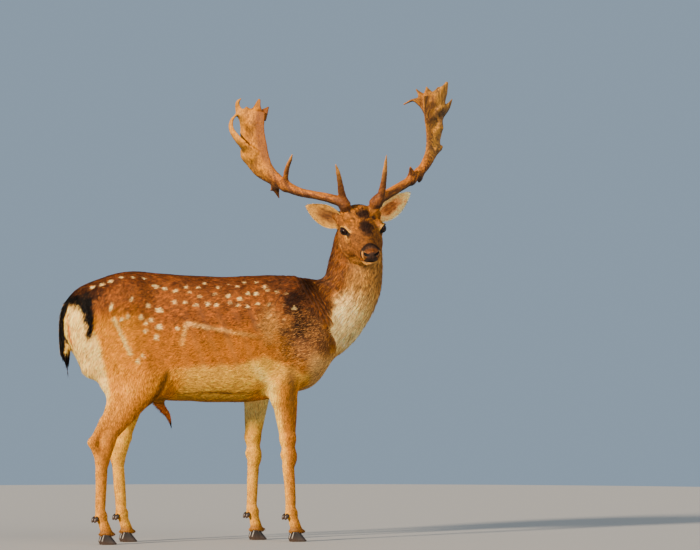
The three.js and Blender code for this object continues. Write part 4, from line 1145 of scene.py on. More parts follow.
def hair_size(p):
    """Length and width of a tuft in mm, and how steeply it stands in degrees."""
    x, _, z = p.T
    legs, neck, head = leg_share(p), neck_share(p), head_share(p)
    facing = neck_place(p)[1]
    length = mix(HAIR["side"], HAIR["belly"], soft(z, 560, 500))
    length = mix(length, mix(HAIR["nape"], HAIR["throat"], soft(facing, -0.2, 0.4)), neck)
    length = mix(length, HAIR["crease"], creases(p)[1])
    length = mix(length, HAIR["tail"], soft(field([TAIL_SHAPE], p), 8, 2) * soft(z, 650, 630))
    length = mix(length, HAIR["rump"], soft(x, -400, -450) * soft(z, 820, 780))
    length = mix(length, mix(HAIR["shank"], HAIR["thigh"], soft(z, 250, 520)), legs)
    q = into_head(p)
    face = mix(HAIR["face"], HAIR["muzzle"], soft(q[:, 0], 90, 145))
    face = mix(face, HAIR["crown"], soft(q[:, 0], 0, -60) * soft(q[:, 2], 0, 30))
    face = mix(face, HAIR["jaw"], soft(q[:, 2], -40, -80))
    length = mix(length, face, head)
    lift = mix(mix(LIFT["side"], LIFT["neck"], neck), LIFT["leg"], legs)
    return length, 0.9 + 0.062 * length, mix(lift, LIFT["head"], head)


def coat_depth(p):
    """How deep the skin lies under the outside of the coat, in mm."""
    depth = mix(DEPTH["side"], DEPTH["neck"], neck_share(p))
    depth = mix(depth, DEPTH["leg"], leg_share(p) * soft(p[:, 2], 560, 420))
    face = mix(DEPTH["head"], DEPTH["muzzle"], soft(into_head(p)[:, 0], 90, 140))
    return mix(depth, face, head_share(p))


# ---- the skin


def sculpt_muzzle(m):
    """Mouth line, lips, the groove under the nose, and the wings and holes of the nostrils."""
    f, a, u = m.T
    below = mouth_height(f) - u
    mouth = 3.0 * hill(below, 1.8) * soft(f, 100, 114)
    lip = 1.8 * hill(below + 5.5, 4) * soft(f, 100, 122)
    groove = 1.3 * hill(a, 1.5) * soft(f, 142, 150) * soft(u, 4, -4) * soft(below, -2, -6)
    wing = 2.4 * hill(along_curve(WING_CURVE, a, u), 3.0) * soft(f, 134, 144)
    forward = soft(f, 122, 150)
    push = lip - mouth - groove + wing
    m = m + push[:, None] * np.stack([0.2 + 0.8 * forward, 1 - 0.75 * forward, 0 * f], 1)
    m[:, 0] -= 9.0 * soft(nostril(a, u), 1.15, 0.55) * soft(f, 138, 146)
    return m


def sculpt_eye(m):
    """Brow, tear slit, and lids that wrap the ball; in the opening the skin drops behind it."""
    m[:, 2] += 2.6 * np.exp(-np.sum(((m - (-6, 47, 24)) / (18, 12, 10)) ** 2, axis=1))
    across, up, out = eye_place(m)
    m[:, 1] -= 2.6 * hill(tear_slit(across, up), 2.0) * soft(across, 13, 17) * (out > 0)
    d = m - EYE_AT
    across, up, out, radius = on_lids(m)
    upper, lower = lid_edge(across)
    past = np.maximum(np.abs(across) - EYE_HALF, 0)
    opening = np.where(past > 0, -np.hypot(past, up), np.minimum(upper - up, up + lower))
    edge = hill(opening + 2.2, 1.8)
    lid = EYE_RADIUS + 1.4 + 1.0 * edge + 0.9 * edge * (up > 0)
    fold = 0.9 * hill(opening + 7.0, 1.2) * (up > 0)
    beyond = np.maximum(-opening, 0)
    outside = np.where(radius < lid, lid, mix(radius, lid, soft(beyond, 9, 0.5))) - fold
    wanted = mix(outside, EYE_RADIUS - 3.0, soft(opening, -0.3, 0.6))
    near = soft(out, 0, 3) * soft(radius, EYE_RADIUS + 20, EYE_RADIUS + 11)
    return EYE_AT + d / radius[:, None] * mix(radius, wanted, near)[:, None]


def sculpt_head(q):
    """Eyelids, nostrils, mouth, lips and tear slits, in the head's frame."""
    m = sculpt_eye(sculpt_muzzle(to_left(q)))
    m[:, 1] *= np.where(q[:, 1] < 0, -1.0, 1.0)
    return m


def sculpt(points, normals):
    """Folds and relief of the skin, then the coat's depth taken off."""
    x, y, z = points.T
    head = head_share(points)
    relief = 1.4 * noise(points, 46, 42) * (1 - head)
    relief *= soft(z, 60, 120)
    ribs = 0.9 * np.sin((x + 0.35 * (z - 700)) / 9.5) * soft(x, -170, -90) * soft(x, 190, 120)
    relief += ribs * soft(np.abs(y), 60, 110) * soft(z, 520, 600) * soft(z, 830, 760)
    points = points + normals * (relief - coat_depth(points))[:, None]
    some = np.flatnonzero((head > 0.01) & (into_head(points)[:, 0] > -60))
    points[some] = from_head(sculpt_head(into_head(points[some])))
    return points


def of_head(middle):
    """The edges of the head, which the first round splits."""
    q = into_head(middle)
    return (q[:, 0] > -125) & (np.linalg.norm(q, axis=1) < 200) & (q @ np.array([0.8, 0, 0.6]) > -130)


def of_face(near, forward):
    """The edges nearer to an eye than near, or further forward than forward, which later rounds split."""

    def chosen(middle):
        q = into_head(middle)
        eye = np.linalg.norm(to_left(q) - (8, 64, 2), axis=1)
        return (eye < near) | (q[:, 0] > forward) & (np.linalg.norm(q, axis=1) < 220)

    return chosen


SKIN_CELL = 6.3
SKIN_LOW, SKIN_HIGH = np.array([-548.0, -342.0, 24.0]), np.array([680.0, 176.0, 1140.0])
SKULL_REACH, SKULL_BOX = 260, 230.0  # how far from the head's middle the skull is fused on the grid


def make_skin():
    """Points, triangles and normals of the one skin, at the outside of the coat."""

    def skull_too(values, p):
        return with_skull(values, p, SKULL_REACH)

    extra = (HEAD_AT - SKULL_BOX, HEAD_AT + SKULL_BOX, skull_too)
    values = grid_values(BODY, SKIN_LOW, SKIN_HIGH, SKIN_CELL, extra)
    points, faces = surface(values, SKIN_LOW, SKIN_CELL)
    for chosen in (of_head, of_face(48, 96), of_face(27, 128)):
        points, faces = refine(points, faces, chosen)
    points, normals = settle(flesh, points, 3)
    return points, faces, normals


# ---- moving onto the part's frame, and meshes


def frame_shift():
    """From the plan's place to the part's frame, in mm, by the middle between the two eyes."""
    middles = [(Vector(a) + Vector(b)) / 2 for a, b in (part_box("eye_right"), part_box("eye_left"))]
    between = np.mean([np.array(m) for m in middles], axis=0) * 1000
    return between - from_head(EYE_AT * (1, 0, 1))


SHIFT = frame_shift()


def add_object(name, data):
    """A new object of the scene."""
    made = bpy.data.objects.new(name, data)
    bpy.context.scene.collection.objects.link(made)
    return made


def make_mesh(name, points, faces, colours, material, normals=None):
    """A mesh object riding on the body, from points in the plan's millimetres and triangles."""
    mesh = bpy.data.meshes.new(name)
    mesh.vertices.add(len(points))
    mesh.vertices.foreach_set("co", ((points + SHIFT) / 1000).astype(np.float32).ravel())
    mesh.loops.add(faces.size)
    mesh.loops.foreach_set("vertex_index", faces.astype(np.int32).ravel())
    mesh.polygons.add(len(faces))
    mesh.polygons.foreach_set("loop_start", np.arange(0, faces.size, 3, dtype=np.int32))
    mesh.update(calc_edges=True)
    mesh.polygons.foreach_set("use_smooth", np.full(len(faces), True))
    tint = mesh.color_attributes.new("tint", "FLOAT_COLOR", "POINT")
    rgba = np.ones((len(points), 4), np.float32)
    rgba[:, :3] = linear(np.clip(colours, 0, 255))
    tint.data.foreach_set("color", rgba.ravel())
    if normals is not None:
        way = mesh.attributes.new("custom_normal", "FLOAT_VECTOR", "POINT")
        way.data.foreach_set("vector", normals.astype(np.float32).ravel())
    mesh.materials.append(material)
    made = add_object(name, mesh)
    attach(made, "root")
    return made


# ---- materials


def add_node(tree, kind, **inputs):
    """A new node; each input is given a value, or the output that feeds it."""
    made = tree.nodes.new("ShaderNode" + kind)
    for name, value in inputs.items():
        socket = made.inputs[name.replace("_", " ")]
        if isinstance(value, bpy.types.NodeSocket):
            tree.links.new(value, socket)
        else:
            socket.default_value = value
    return made


def tinted(name, roughness, specular, grain):
    """A material that takes its colour from the mesh's own tint, varied by grain.

    grain is a list of (scale across, stretch along z, colour share, bump height in mm).
    """
    material = bpy.data.materials.new(name)
    material.use_nodes = True
    tree = material.node_tree
    shader = tree.nodes["Principled BSDF"]
    tint = add_node(tree, "Attribute")
    tint.attribute_name = "tint"
    place = add_node(tree, "TexCoord").outputs["Object"]
    colour, normal = tint.outputs["Color"], None
    for scale, stretch, share, bump in grain:
        stretched = add_node(tree, "Mapping", Vector=place, Scale=(scale, scale, scale * stretch))
        cloud = add_node(tree, "TexNoise", Vector=stretched.outputs["Vector"], Scale=1.0, Detail=3.0)
        cloud = cloud.outputs["Fac"]
        spread = {"From_Min": 0.3, "From_Max": 0.7, "To_Min": 1 - share, "To_Max": 1 + share}
        factor = add_node(tree, "MapRange", Value=cloud, **spread).outputs["Result"]
        shade = add_node(tree, "VectorMath", Vector=colour)
        shade.operation = "SCALE"
        tree.links.new(factor, shade.inputs["Scale"])
        colour = shade.outputs["Vector"]
        if bump:
            relief = add_node(tree, "Bump", Strength=1.0, Distance=bump / 1000, Height=cloud)
            if normal is not None:
                tree.links.new(normal, relief.inputs["Normal"])
            normal = relief.outputs["Normal"]
    tree.links.new(colour, shader.inputs["Base Color"])
    if normal is not None:
        tree.links.new(normal, shader.inputs["Normal"])
    shader.inputs["Roughness"].default_value = roughness
    shader.inputs["Specular IOR Level"].default_value = specular
    return material


HIDE_GRAIN = [(420, 0.35, 0.16, 0.5), (60, 0.6, 0.08, 0)]
BONE_GRAIN = [(260, 0.3, 0.22, 0.7), (700, 0.5, 0.12, 0.25)]
HIDE = tinted("deer_skin", roughness=0.75, specular=0.25, grain=HIDE_GRAIN)
FUR = tinted("deer_coat", roughness=0.85, specular=0.08, grain=[(90, 0.5, 0.10, 0)])
BONE = tinted("antler_bone", roughness=0.62, specular=0.22, grain=BONE_GRAIN)
HORN = tinted("hoof_horn", roughness=0.38, specular=0.5, grain=[(300, 0.15, 0.18, 0.2)])
EYE = tinted("eye_ball", roughness=0.05, specular=0.22, grain=[(700, 1, 0.1, 0)])


# ---- eyes


IRIS, PUPIL, LIMBUS, EYE_WHITE = (46, 22, 10), (5, 4, 4), (18, 10, 7), (66, 44, 30)
CORNEA = 1.0  # mm that it bulges


def unit_ball(rings, sides):
    """Points of a ball from pole to pole, how far each is round from the first pole, and the triangles."""
    angles = np.pi * np.arange(1, rings) / rings, 2 * np.pi * np.arange(sides) / sides
    a, t = [g.ravel() for g in np.meshgrid(*angles, indexing="ij")]
    a, t = np.concatenate([[0], a, [np.pi]]), np.concatenate([[0], t, [0]])
    points = np.stack([np.sin(a) * np.cos(t), np.sin(a) * np.sin(t), np.cos(a)], 1)
    return points, a, ball_faces(rings - 1, sides)


def make_eye(side, name):
    """A ball with a bulging cornea, a level pupil, a dark brown iris and a thin pale edge."""
    axes = eye_axes(side)
    ball, a, faces = unit_ball(40, 56)
    radius = EYE_RADIUS - 0.3 + CORNEA * soft(a, 0.72, 0.35)
    points = EYE_AT * (1, side, 1) + radius[:, None] * ball @ axes
    pupil = np.hypot(ball[:, 0] / 0.46, ball[:, 1] / 0.22)
    c = mix(IRIS, PUPIL, soft(pupil, 1.25, 0.8))
    c = mix(c, LIMBUS, soft(a, 0.6, 0.78))
    c = mix(c, EYE_WHITE, soft(a, 1.12, 1.25))
    if np.linalg.det(axes) < 0:
        faces = faces[:, ::-1]
    eyeball = make_mesh(f"eyeball_{name}", from_head(points), faces, c, EYE)
    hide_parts(f"eye_{name}")


def ball_faces(rings, sides):
    """Triangles of a ball: a first pole, rings of sides points, and a last pole."""
    faces = []
    last = 1 + (rings - 1) * sides
    for i in range(sides):
        j = (i + 1) % sides
        faces.append((0, 1 + i, 1 + j))
        for first in range(1, last, sides):
            a, b, c, d = first + i, first + j, first + sides + j, first + sides + i
            faces += [(a, d, c), (a, c, b)]
        faces.append((last + i, last + sides, last + j))
    return np.array(faces)


# ---- ears


EAR_PAINTED_LIGHT = {-1: (0.86, 0.86, 0.84), 1: (1.48, 1.44, 1.7)}  # scales of each ear's colours: the right ear a little darker, the left ear, which the key light misses, brightened as painted light
EAR_STREAKS = (-0.42, -0.05, 0.3)  # of the dark hair inside, as shares of the half width
EAR_COVER = 0.42  # tufts to a square millimetre
EAR_TUFT = (6.0, 1.1, 7.0)  # their length, width and lift
EAR_INSIDE, EAR_DEEP, EAR_STREAK, EAR_FLECK = (206, 158, 94), (158, 108, 58), (74, 40, 18), (120, 74, 38)
EAR_FRINGE, EAR_RIM, EAR_BACK, EAR_BACK_DARK = (236, 196, 128), (232, 190, 124), (172, 112, 56), (130, 80, 38)


def make_ear(side, name):
    """A cupped leaf with a rolled rim and three folds inside: the same form as the part's ear, finer."""
    rows, ring = 44, 64
    root, tip = [np.array([p[0], side * p[1], p[2]], float) for p in EAR_REACH[side]]
    reach = tip - root
    axis = unit(reach)
    front = np.array([0.84, side * 0.3, 0.4])
    front = unit(front - axis * (front @ axis))
    across = np.cross(front, axis)
    angle = 2 * np.pi * np.arange(ring) / ring
    t, g = [v.ravel() for v in np.meshgrid(np.linspace(-0.06, 1.0, rows), angle, indexing="ij")]
    tt = np.clip(t, 0, 1)
    half = 38 * np.sin(np.pi * (0.2 + 0.78 * tt**0.9)) ** 0.85
    cup = 22 * (1 - 0.72 * tt) * np.minimum(1, half / 20)
    b = np.cos(g)
    wall = 2.1 * (1.5 - 0.6 * tt) * np.sin(g)
    inner = np.maximum(np.sin(g), 0)
    folds = inner * soft(np.abs(b), 0.9, 0.5) * 1.1 * np.cos(b * 7.5 + 0.6) * soft(tt, 0.85, 0.3)
    roll = 2.0 * soft(np.abs(b), 0.82, 1.0) * soft(tt, 1.0, 0.6)
    p = root + t[:, None] * reach + (b * half * (1 - 0.02 * roll))[:, None] * across
    p = p + (cup * (b * b - 0.6) + wall + folds + roll)[:, None] * front
    p = p + (noise(p, 22, 60 + side) * 1.2)[:, None] * front
    points = from_head(np.vstack([p[:ring].mean(0), p, p[-ring:].mean(0)]))
    faces = ball_faces(rows, ring)[:, ::-1]
    # Each ear's colours are scaled; on the left ear this is painted light.
    c = ear_colour(p, tt, b, np.sin(g)) * EAR_PAINTED_LIGHT[side]
    c = np.vstack([c[0], c, c[-1]])
    leaf = make_mesh(f"ear_leaf_{name}", points, faces, c, HIDE)
    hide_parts(f"ear_{name}")
    ear_coat(name, points, faces, c, axis)


def ear_colour(p, tt, b, facing):
    """At shares tt from root to tip and b from middle to edge, facing in front (1) or behind (-1)."""
    edge, tone, fine = np.abs(b), noise(p, 12, 63), noise(p, 4, 64)
    inside = mix(EAR_INSIDE, EAR_DEEP, soft(edge + 0.2 * tone, 0.8, 0.15) * soft(tt, 0.95, 0.4))
    for middle in EAR_STREAKS:
        streak = hill(b - middle * (1 - 0.3 * tt) - 0.1 * tone, 0.12)
        streak = 0.8 * streak * soft(tt, 0.72, 0.45) * soft(tt, 0.1, 0.25) * soft(fine, -0.8, -0.1)
        inside = mix(inside, EAR_STREAK, streak)
    inside = mix(inside, EAR_FLECK, 0.4 * soft(fine + 0.3 * tone, 0.3, 0.55))
    inside = mix(inside, EAR_FRINGE, soft(edge, 0.86, 0.98))
    back = mix(EAR_BACK, EAR_BACK_DARK, soft(edge + 0.1 * tone, 0.8, 0.3))
    c = mix(back, inside, soft(facing, -0.1, 0.15))
    at_tip = soft(tt, 0.92, 0.98) * soft(facing, -0.3, 0.2)
    return mix(c, EAR_RIM, np.maximum(at_tip, soft(edge, 0.93, 0.99)))


def ear_coat(name, points, faces, colours, axis):
    """Short tufts on the ear, lying towards its tip."""
    corner = points[faces]
    flat = np.cross(corner[:, 1] - corner[:, 0], corner[:, 2] - corner[:, 0])
    normals = np.zeros(points.shape)
    for k in range(3):
        np.add.at(normals, faces[:, k], flat)
    roots, facing, face = scatter(points, faces, unit(normals), np.full(len(points), EAR_COVER))
    way = np.broadcast_to(unit(from_head(axis) - HEAD_AT), roots.shape) + 0.12 * facing
    way = unit(square_to(way, facing))
    sizes = [np.full(len(roots), size) for size in EAR_TUFT]
    add_coat(f"coat_ear_{name}", roots, facing, way, *sizes, colours[faces[face]].mean(1), "ear")


# ---- antlers

# In the head's frame, as for the left side: the beam's stations with its width and thickness at each, then
# the tines, spurs and palm points, each a list of places and the radii there.
ANTLER = {
    -1: {
        "stem": [
            (-60, 50, 44), (-66, 58, 64), (-98, 98, 68), (-132, 142, 62), (-166, 187, 56),
            (-208, 230, 59), (-250, 268, 71), (-292, 298, 91), (-340, 314, 132), (-382, 316, 181),
            (-413, 307, 230),
        ],
        "wide": [17, 19, 16, 15, 15.5, 19, 28, 43, 52, 49, 46],
        "thick": [17, 17.5, 14.5, 13.5, 13.5, 14.5, 13, 9.5, 7.5, 7, 6],
        "brow": (
            [(-64, 52, 54), (-74, 61, 91), (-80, 69, 139), (-85, 76, 176), (-89, 84, 206)],
            [16, 13, 9.5, 7.5, 2],
        ),
        "trez": (
            [(-205, 232, 54), (-210, 230, 87), (-213, 225, 124), (-212, 215, 158), (-210, 210, 179)],
            [14, 10, 8, 6, 2],
        ),
        "spurs": [
            ([(-238, 250, 66), (-240, 254, 26), (-230, 246, -2)], [14, 11, 2]),
            ([(-240, 254, 52), (-243, 262, 34), (-244, 272, 20)], [10, 9, 2]),
        ],
        "points": [
            (
                [
                    (-326, 316, 112), (-356, 354, 142), (-385, 375, 160),
                    (-410, 384, 174), (-425, 380, 192), (-433, 365, 209),
                ],
                [24, 17, 12, 9, 7, 2],
            ),
            (
                [
                    (-388, 316, 182), (-428, 344, 208), (-452, 355, 228),
                    (-458, 354, 244), (-457, 344, 258),
                ],
                [28, 17, 10, 7, 2],
            ),
            ([(-394, 314, 196), (-423, 326, 222), (-433, 328, 236)], [22, 13, 3]),
            ([(-404, 300, 216), (-425, 292, 246), (-433, 286, 263)], [22, 12, 5]),
            ([(-398, 282, 212), (-409, 267, 234), (-414, 258, 243)], [20, 12, 3]),
            ([(-324, 326, 96), (-346, 348, 96), (-360, 354, 108)], [24, 12, 3]),
        ],
    },
    1: {
        "stem": [
            (-60, 46, 44), (-66, 54, 64), (-98, 98, 67), (-135, 147, 69), (-170, 195, 74),
            (-210, 240, 88), (-250, 270, 109), (-288, 287, 136), (-328, 296, 175), (-362, 300, 222),
            (-386, 304, 258),
        ],
        "wide": [17, 19, 17, 16, 16.5, 18, 25, 35, 46, 57, 60],
        "thick": [17, 18, 16, 15, 14.5, 15, 13, 10, 8, 7, 6],
        "brow": (
            [(-64, 60, 57), (-68, 71, 88), (-76, 79, 132), (-80, 83, 172), (-85, 87, 232)],
            [16, 13, 10, 8.5, 2],
        ),
        "trez": ([(-168, 194, 70), (-170, 194, 98), (-166, 188, 124)], [15, 12, 4]),
        "spurs": [
            ([(-196, 222, 82), (-194, 227, 60), (-190, 225, 50)], [14, 11, 4]),
        ],
        "points": [
            ([(-350, 290, 210), (-364, 262, 244), (-368, 232, 262), (-363, 198, 252)], [34, 20, 12, 2]),
            ([(-366, 290, 230), (-388, 262, 264), (-401, 247, 282)], [30, 15, 3]),
            ([(-374, 296, 240), (-396, 286, 272), (-404, 282, 286)], [32, 17, 3]),
            ([(-374, 308, 240), (-394, 316, 266), (-402, 322, 280)], [34, 20, 6]),
            ([(-372, 316, 234), (-402, 340, 266), (-418, 354, 290)], [36, 26, 8]),
            ([(-356, 318, 200), (-380, 350, 214), (-396, 370, 238)], [34, 17, 2]),
            ([(-276, 290, 110), (-290, 314, 109), (-297, 322, 115)], [18, 8, 3]),
            ([(-314, 300, 152), (-330, 322, 168), (-342, 324, 186)], [20, 13, 5]),
        ],
    },
}
STEM_STEPS = 44
ANTLER_CELL = 2.3
BEAM_DARK, BEAM_PALE, BEAM_FOOT, BEAM_TOP_HIGHLIGHT = (98, 54, 22), (182, 112, 38), (96, 52, 22), (206, 132, 50)
PALM_FRONT, PALM_BACK, TINE_TIP = (112, 60, 22), (190, 140, 78), (214, 156, 88)
PALM_FRONT_SHARE = {-1: 0.7, 1: 0.35}
# Dark and pale tones of each palm: the right palm's warm as if lit, the left palm's greyer as if in shade,
# painted light and shade.
PALM_LIT_AND_SHADED_TONES = {-1: ((134, 84, 22), (206, 140, 22)), 1: ((114, 80, 44), (200, 144, 70))}


def antler_shapes(side):
    """Stem, tines and palm points in the head's frame."""
    plan = ANTLER[side]
    across = (-0.62, side * 0.7, -0.3)

    def out(points):
        return [(x, side * y, z) for x, y, z in points]

    def tine(points, radii):
        return swept(out(points), radii, [r * 0.96 for r in radii], (1, 0, 0), 5 * len(points), 12)

    def palm_point(points, radii):
        thick = [min(r, 2.4 + r * 0.22) for r in radii]
        return swept(out(points), radii, thick, across, 5 * len(points), 22)

    stem = swept(out(plan["stem"]), plan["wide"], plan["thick"], across, STEM_STEPS, 4)
    tines = [tine(*tine_plan) for tine_plan in (plan["brow"], plan["trez"], *plan["spurs"])]
    return [stem, *tines, *[palm_point(*point) for point in plan["points"]]]


def make_antler(side, name):
    """Beam, tines and palm in one, with gutters, pearls and a burr, a painted highlight on the beam's tops
    and painted shade on the undersides.
    """
    shapes = antler_shapes(side)
    low = np.min([s.low for s in shapes], axis=0) - 8
    high = np.max([s.high for s in shapes], axis=0) + 8
    points, faces = surface(grid_values(shapes, low, high, ANTLER_CELL), low, ANTLER_CELL)

    def distance(p):
        return field(shapes, p)

    points, normals = settle(distance, points)
    # Where each point is along the stem and round it.
    stem = smooth_curve([(x, side * y, z) for x, y, z in ANTLER[side]["stem"]], np.linspace(0, 1, 90))
    reach = np.concatenate([[0], np.cumsum(np.linalg.norm(np.diff(stem, axis=0), axis=1))])
    near, away = nearest_station(points, stem)
    s, off = reach[near], np.sqrt(away)
    tangent = unit(np.gradient(stem, axis=0))[near]
    # Long gutters, pearls near the base, a low burr, and the channels of the palm.
    lengthwise = points - 0.86 * np.sum(points * tangent, axis=1, keepdims=True) * tangent
    gutters, grain = noise(lengthwise, 6, 71 + side), noise(lengthwise, 2.6, 81 + side)
    pearls = np.maximum(noise(points, 5.5, 73), 0) * soft(s, 170, 20) * soft(s, 14, 30)
    burr = hill(s - 16, 5.0) * (1.6 + 1.4 * noise(points, 5, 75)) * soft(off, 34, 26)
    palm = soft(s / reach[-1], 0.5, 0.66)
    relief = 0.6 * gutters + 0.25 * grain + 0.9 * pearls + burr - 0.2
    relief += 0.6 * palm * noise(lengthwise, 15, 77)
    points = points + normals * relief[:, None]
    tone = 0.5 + 0.35 * gutters + 0.4 * grain
    c = mix(BEAM_DARK, BEAM_PALE, soft(tone, 0.1, 0.9))
    c = mix(c, BEAM_FOOT, 0.5 * soft(s, 90, 20))
    c = mix(c, mix(*PALM_LIT_AND_SHADED_TONES[side], soft(tone + 0.25 * noise(points, 26, 79), 0.05, 0.85)), palm * 0.95)
    # The front edge of the palm is browner, its back part paler.
    front = np.sum((points - stem[near]) * unit(np.array([0.62, -side * 0.7, 0.3])), axis=1) + 5 * gutters
    c = mix(c, PALM_FRONT, PALM_FRONT_SHARE[side] * palm * soft(front, 6, 26))
    c = mix(c, PALM_BACK, 0.45 * palm * soft(front, -16, -44))
    # Painted highlight on the beam's upward-facing tops.
    upward = normals @ HEAD_FRAME[2]
    c = mix(c, BEAM_TOP_HIGHLIGHT, 0.5 * soft(upward, 0.1, 0.8) * (1 - palm) * soft(s, 40, 90))
    c = mix(c, TINE_TIP, 0.8 * (soft(off, 50, 130) * (1 - palm)))
    # Fine grain, and painted shade: darker where the surface faces down.
    c = c * ((1 + 0.08 * noise(points, 3, 78)) * (1 - 0.55 * soft(upward, 0.1, -0.8)))[:, None]
    horn = make_mesh(f"antler_{name}", from_head(points), faces, c, BONE)
    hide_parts(*[f"antler_{name}_{part}" for part in ("beam", "palm", "brow_tine", "trez_tine")])


# ---- hooves


HOOF_TOP, HOOF_TOE = (66, 50, 40), (30, 23, 20)
DEWCLAW_TOP, DEWCLAW_TIP = (32, 24, 20), (70, 52, 42)
HOOF_HEIGHT = 33.5


def ring_faces(rows, sides):
    """Triangles of rows of rings, closed by a fan at each end."""
    faces = []
    for r in range(rows - 1):
        for i in range(sides):
            a, b = r * sides + i, r * sides + (i + 1) % sides
            faces += [(a, b, b + sides), (a, b + sides, a + sides)]
    top = (rows - 1) * sides
    for i in range(1, sides - 1):
        faces += [(0, i + 1, i), (top, top + i, top + i + 1)]
    return np.array(faces)


def make_hoof(leg, foot, half, which):
    """One claw: a pointed wedge, flat below, higher in front, with growth rings; half is its side."""
    rows, sides = 18, 36
    angle = 2 * np.pi * np.arange(sides) / sides
    t, g = [v.ravel() for v in np.meshgrid(np.linspace(0, 1, rows), angle, indexing="ij")]
    z = HOOF_HEIGHT * t**1.1
    toe = np.interp(z, [0, 3, HOOF_HEIGHT], [27, 30, 4.5])
    heel = np.interp(z, [0, 11, HOOF_HEIGHT], [-23, -27.5, -21])
    width = np.interp(t, [0, 0.12, 1], [8.6, 9.6, 9.0])
    c, s = np.cos(g), np.sin(g)
    x = (toe + heel) / 2 + (toe - heel) / 2 * np.sign(c) * np.abs(c) ** 0.86
    y = width * np.sign(s) * np.abs(s) ** 0.8 * (1 - 0.42 * np.maximum(c, 0) ** 1.6)
    y = np.where(s * half < 0, y * 0.82, y)
    rings = 0.35 * np.sin(z * 1.3) * soft(t, 0.02, 0.15)
    points = np.stack([foot[0] - 4 + x + rings * c, foot[1] + half * 12 + y + rings * s, z], 1)
    shade = mix(HOOF_TOP, HOOF_TOE, soft(t, 0.1, 0.9)) * (1 + 0.1 * np.sin(z * 1.3))[:, None]
    claw = make_mesh(f"{leg}_claw_{which}", points, ring_faces(rows, sides), shade, HORN)
    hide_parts(f"{leg}_hoof_{which}")


def make_dewclaw(leg, fetlock, half, which):
    """A small blunt cone behind the fetlock."""
    ball, _, faces = unit_ball(14, 22)
    ball = ball * (7, 6, 12)
    ball[:, 0] *= 1 - 0.25 * soft(ball[:, 2], 0, -12)
    points = ball @ turn("Y", math.degrees(0.5)).T + (fetlock[0] - 22, fetlock[1] + half * 13, 84)
    shade = mix(DEWCLAW_TIP, DEWCLAW_TOP, soft(ball[:, 2], -12, 10))
    claw = make_mesh(f"{leg}_small_claw_{which}", points, faces, shade, HORN)
    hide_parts(f"{leg}_dewclaw_{which}")


# ---- the coat


def scatter(points, faces, normals, density):
    """Random roots: places, normals and triangles. density is tufts to a square mm at each vertex."""
    a, b, c = (points[faces[:, k]] for k in range(3))
    area = np.linalg.norm(np.cross(b - a, c - a), axis=1) / 2
    share = area * density[faces].mean(1)
    count = np.floor(share + rng.random(len(faces))).astype(int)
    face = np.repeat(np.arange(len(faces)), count)
    u, v = rng.random((2, len(face)))
    flip = u + v > 1
    u, v = np.where(flip, 1 - u, u), np.where(flip, 1 - v, v)
    w = np.stack([1 - u - v, u, v], 1)[..., None]
    return (points[faces[face]] * w).sum(1), unit((normals[faces[face]] * w).sum(1)), face


def unwrap(p):
    """A place on an unwrap of the body's surface: along it and round it, island by island, in 0..1."""
    x, y, z = p.T
    top, bottom, _ = trunk_at(x)
    u, v = (x + 560) / 1100, np.arctan2(y, z - (top + bottom) / 2) / (2 * np.pi) + 0.5
    place, facing, _ = neck_place(p)
    neck, head, legs = neck_share(p) > 0.5, head_share(p) > 0.5, leg_share(p) > 0.5
    q = into_head(p)
    u = np.where(neck, place, u)
    v = np.where(neck, 0.5 + 0.5 * np.sign(y) * np.arccos(np.clip(facing, -1, 1)) / np.pi, v)
    u = np.where(head, (q[:, 0] + 150) / 330, u)
    v = np.where(head, np.arctan2(q[:, 1], q[:, 2] + 20) / (2 * np.pi) + 0.5, v)
    hind = x < 0
    around = np.arctan2(np.abs(y) - 88, x - np.where(hind, -330, 260)) / (2 * np.pi) + 0.5
    u = np.where(legs, z / 640, u)
    v = np.where(legs, (around + 2 * hind + (y > 0)) / 4, v)
    return np.stack([u, v], 1)


BLADE = [(0, 3, 2), (2, 3, 1), (0, 1, 3), (0, 2, 1)]  # triangles over its left, right, crest and tip
BLADE_SHADES = [0.84, 0.84, 0.97, 1.08]  # of the same four: darker at the root, paler at the tip
BLADE_PATCH = [(-0.0012, -0.0012), (0.0012, -0.0012), (0, 0), (0, 0.0015)]  # their places on the unwrap
TUFT_DEPTH, TUFT_SWAY = 0.8, 0.09  # mm that a root is sunk, and how far a tuft leans aside, to its length


